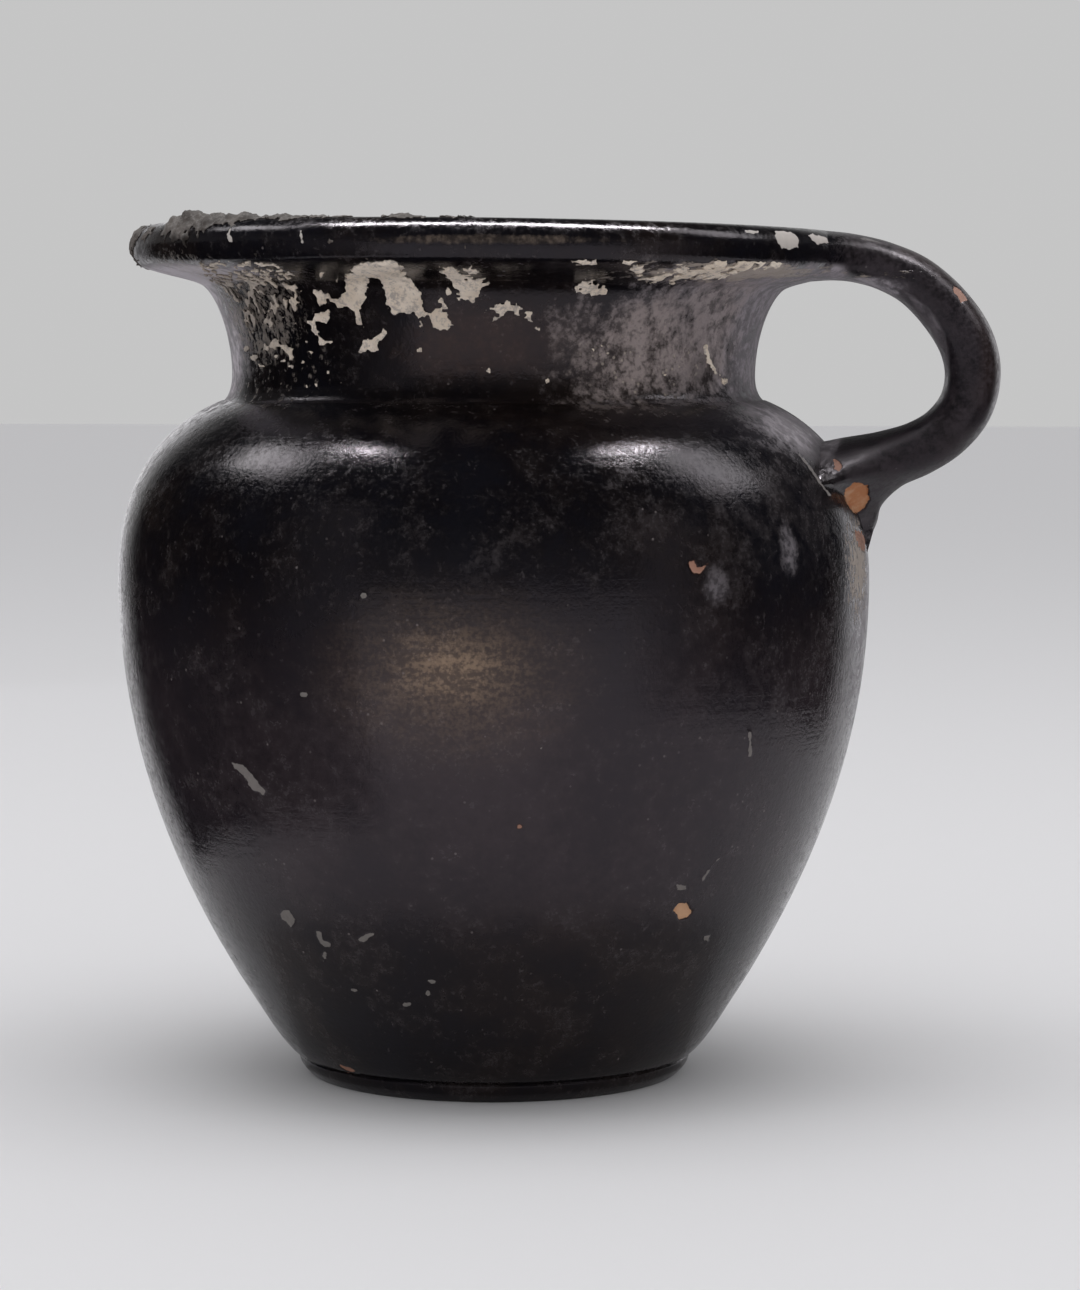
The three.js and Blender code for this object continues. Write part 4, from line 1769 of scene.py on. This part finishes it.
@dataclass(frozen=True)
class Lamp:
    """One soft lamp, by its place from the jug's middle: towards the camera, right and up."""

    name: str
    place: Vector
    width: float
    height: float
    power: float
    colour: Colour = (1.0, 1.0, 1.0)
    mirrored: bool = True
    lights: bool = False

    def build(self, target: Vector, facing: float) -> bpy.types.Object:
        """Makes the lamp, turned towards the jug.

        Args:
            target: What it points at.
            facing: The camera's azimuth in radians.

        Returns:
            The lamp object.
        """
        data = bpy.data.lights.new(self.name, "AREA")
        data.shape = "RECTANGLE"
        data.size = self.width
        data.size_y = self.height
        data.energy = self.power
        data.color = self.colour
        lamp = bpy.data.objects.new(self.name, data)
        away = self.place.copy()
        away.rotate(Matrix.Rotation(facing, 3, "Z"))
        lamp.location = target + away
        forward = -away.normalized()
        side = Vector((-math.sin(facing), math.cos(facing), 0.0))
        across = (side - forward * side.dot(forward)).normalized()
        rise = across.cross(forward)
        lamp.rotation_euler = Matrix((across, rise, -forward)).transposed().to_euler()
        lamp.visible_camera = False
        lamp.visible_glossy = self.mirrored
        lamp.visible_diffuse = self.lights
        bpy.context.scene.collection.objects.link(lamp)
        return lamp


@dataclass(frozen=True)
class Card:
    """A dark card bent round the jug, upright or flat, that only the reflections show.

    Its two edges are given by their distance from the wheel's axis and their height.
    """

    name: str
    turns: Tuple[float, float]
    low: Point2
    high: Point2
    colour: Colour = (0.012, 0.011, 0.013)
    pale: Colour = (0.5, 0.49, 0.5)
    fade_deg: float = 30.0
    steps: int = 24

    def build(self, facing_deg: float) -> bpy.types.Object:
        """Makes the card.

        Args:
            facing_deg: The camera's azimuth, from which the card's turns count.

        Returns:
            The card.
        """
        bm = bmesh.new()
        bmesh.ops.create_grid(bm, x_segments=self.steps, y_segments=1, size=0.5)
        for vert in bm.verts:
            turn = self.turns[0] + (self.turns[1] - self.turns[0]) * (vert.co.x + 0.5)
            azimuth = math.radians(turn + facing_deg)
            part = vert.co.y + 0.5
            radius = self.low[0] + (self.high[0] - self.low[0]) * part
            height = self.low[1] + (self.high[1] - self.low[1]) * part
            vert.co = (radius * math.cos(azimuth), radius * math.sin(azimuth), height)
        shader = Shader(self.name + "_paint")
        from_front = shader.node("ShaderNodeSeparateXYZ", None, {0: shader.unrolled}, "X")
        from_front = from_front.most(0.0 - from_front)
        near = min(abs(turn) for turn in self.turns)
        dark = shader.rise(from_front, near, near + self.fade_deg)
        colour = shader.mix(dark, self.pale, self.colour)
        shader.feed(Base_Color=colour, Roughness=0.9, Specular_IOR_Level=0.0)
        card = new_object(self.name, bm, shader.material)
        card.visible_camera = False
        card.visible_diffuse = False
        card.visible_shadow = False
        return card


@dataclass
class Studio:
    """A plain pale floor and backdrop, soft lamps and dark cards."""

    floor_size: float = 9.0
    floor_colour: Colour = (0.74, 0.735, 0.755)
    fill: float = 0.72
    backdrop: float = 0.56
    side: float = 0.14
    backdrop_edge: Tuple[float, float] = (0.72, 0.93)
    ceiling_edge: Tuple[float, float] = (0.12, 0.6)
    ceiling_dark: float = 0.88
    lamps: Tuple[Lamp, ...] = (
        Lamp("top", Vector((0.1, 0.0, 0.95)), 0.8, 0.6, 3.4, mirrored=False, lights=True),
        Lamp("bar", Vector((-0.02, 0.015, 0.95)), 0.97, 0.17, 37.5),
        Lamp("left_box", Vector((-0.24, -0.9, 0.95)), 0.32, 0.5, 3.1),
        Lamp("right_box", Vector((-0.07, 0.95, 0.93)), 0.58, 0.42, 3.1),
        Lamp("left_edge", Vector((-0.58, -0.19, 0.08)), 0.2, 0.28, 0.1, COOL),
        Lamp("right_edge", Vector((-0.5, 0.37, 0.08)), 0.2, 0.28, 0.13, COOL),
    )
    cards: Tuple[Card, ...] = (
        Card("left_card", (-116.0, -30.0), (0.095, 0.001), (0.095, 0.118)),
        Card("right_card", (40.0, 119.0), (0.2, 0.001), (0.2, 0.165)),
        # Painted shadow: a dark flat ring on the floor round the foot, seen only in the glaze's
        # reflections, stands in for the floor's contact shadow.
        Card("foot_shadow_card", (-80.0, 80.0), (0.027, 0.0005), (0.06, 0.0005), fade_deg=0.01),
    )

    def build(self, camera: PictureCamera) -> None:
        """Makes the floor, the sky, the lamps and the cards.

        Args:
            camera: The picture's camera, whose side the lamps are placed by.
        """
        bm = bmesh.new()
        bmesh.ops.create_grid(bm, x_segments=1, y_segments=1, size=self.floor_size / 2)
        shader = Shader("floor_paint")
        shader.feed(Base_Color=self.floor_colour, Roughness=0.8, Specular_IOR_Level=0.1)
        new_object("floor", bm, shader.material)
        self.build_sky(camera)
        target = Vector((0, 0, 62 * MM))
        for lamp in self.lamps:
            lamp.build(target, math.radians(camera.azimuth_deg))
        for card in self.cards:
            card.build(camera.azimuth_deg)

    def build_sky(self, camera: PictureCamera) -> None:
        """Makes a sky with an even level of fill light.

        A camera sees a pale backdrop from every side. The glaze mirrors a dark room, with the
        pale backdrop only where it stands opposite the picture's camera. Both darken upwards.

        Args:
            camera: The picture's camera.
        """
        world = bpy.data.worlds.new("sky")
        bpy.context.scene.world = world
        world.use_nodes = True
        graph = Graph(world.node_tree)
        ahead = camera.axes()[2]
        ray = graph.node("ShaderNodeTexCoord", output="Generated")
        rise = graph.node("ShaderNodeSeparateXYZ", None, {0: ray}, "Z")
        facing = {0: ray, 1: (ahead.x, ahead.y, 0.0)}
        behind = graph.node("ShaderNodeVectorMath", {"operation": "DOT_PRODUCT"}, facing, "Value")
        opposite = graph.rise(behind, *self.backdrop_edge)
        mirrored = self.side + opposite * (self.backdrop - self.side)
        camera_ray, glossy_ray, clear_ray = (
            graph.node("ShaderNodeLightPath", output=f"Is {kind} Ray")
            for kind in ("Camera", "Glossy", "Transmission"))
        level = (camera_ray * self.backdrop).most(mirrored)
        level = level * (1.0 - graph.rise(rise, *self.ceiling_edge) * self.ceiling_dark)
        seen = camera_ray.most(glossy_ray).most(clear_ray)
        strength = seen * level + (1.0 - seen) * self.fill
        sky = graph.node(
            "ShaderNodeBackground", None, {"Color": (1.0, 1.0, 1.0, 1.0), "Strength": strength})
        output = graph.tree.nodes.new("ShaderNodeOutputWorld")
        graph.tree.links.new(sky.socket, output.inputs["Surface"])


def main() -> None:
    """Builds the jug, its crust, the studio and the camera."""
    logging.basicConfig(level=logging.INFO, format="%(message)s")
    scene = bpy.context.scene
    scene.view_settings.view_transform = "Standard"
    camera = PictureCamera()
    camera.build()
    glaze = BlackGlaze().build()
    lime = LimeCrust().build()
    # The soil bank gets painted shade under the lip's crown.
    soil = LimeCrust(
        "soil_crust", pale=(0.1, 0.083, 0.074), tan=(0.035, 0.027, 0.023),
        grey=(0.17, 0.153, 0.145), tan_share=0.8, side=0.0, crown_shade=0.85).build()
    shape = WallShape()
    painter = Painter(camera)
    ThrownWall(shape, glaze, painter).build()
    StrapHandle(shape, glaze, painter).build()
    crust = Crust(shape, camera, lime, soil)
    crust.build_scabs()
    crust.build_rim()
    Studio().build(camera)


if __name__ == "__main__":
    main()
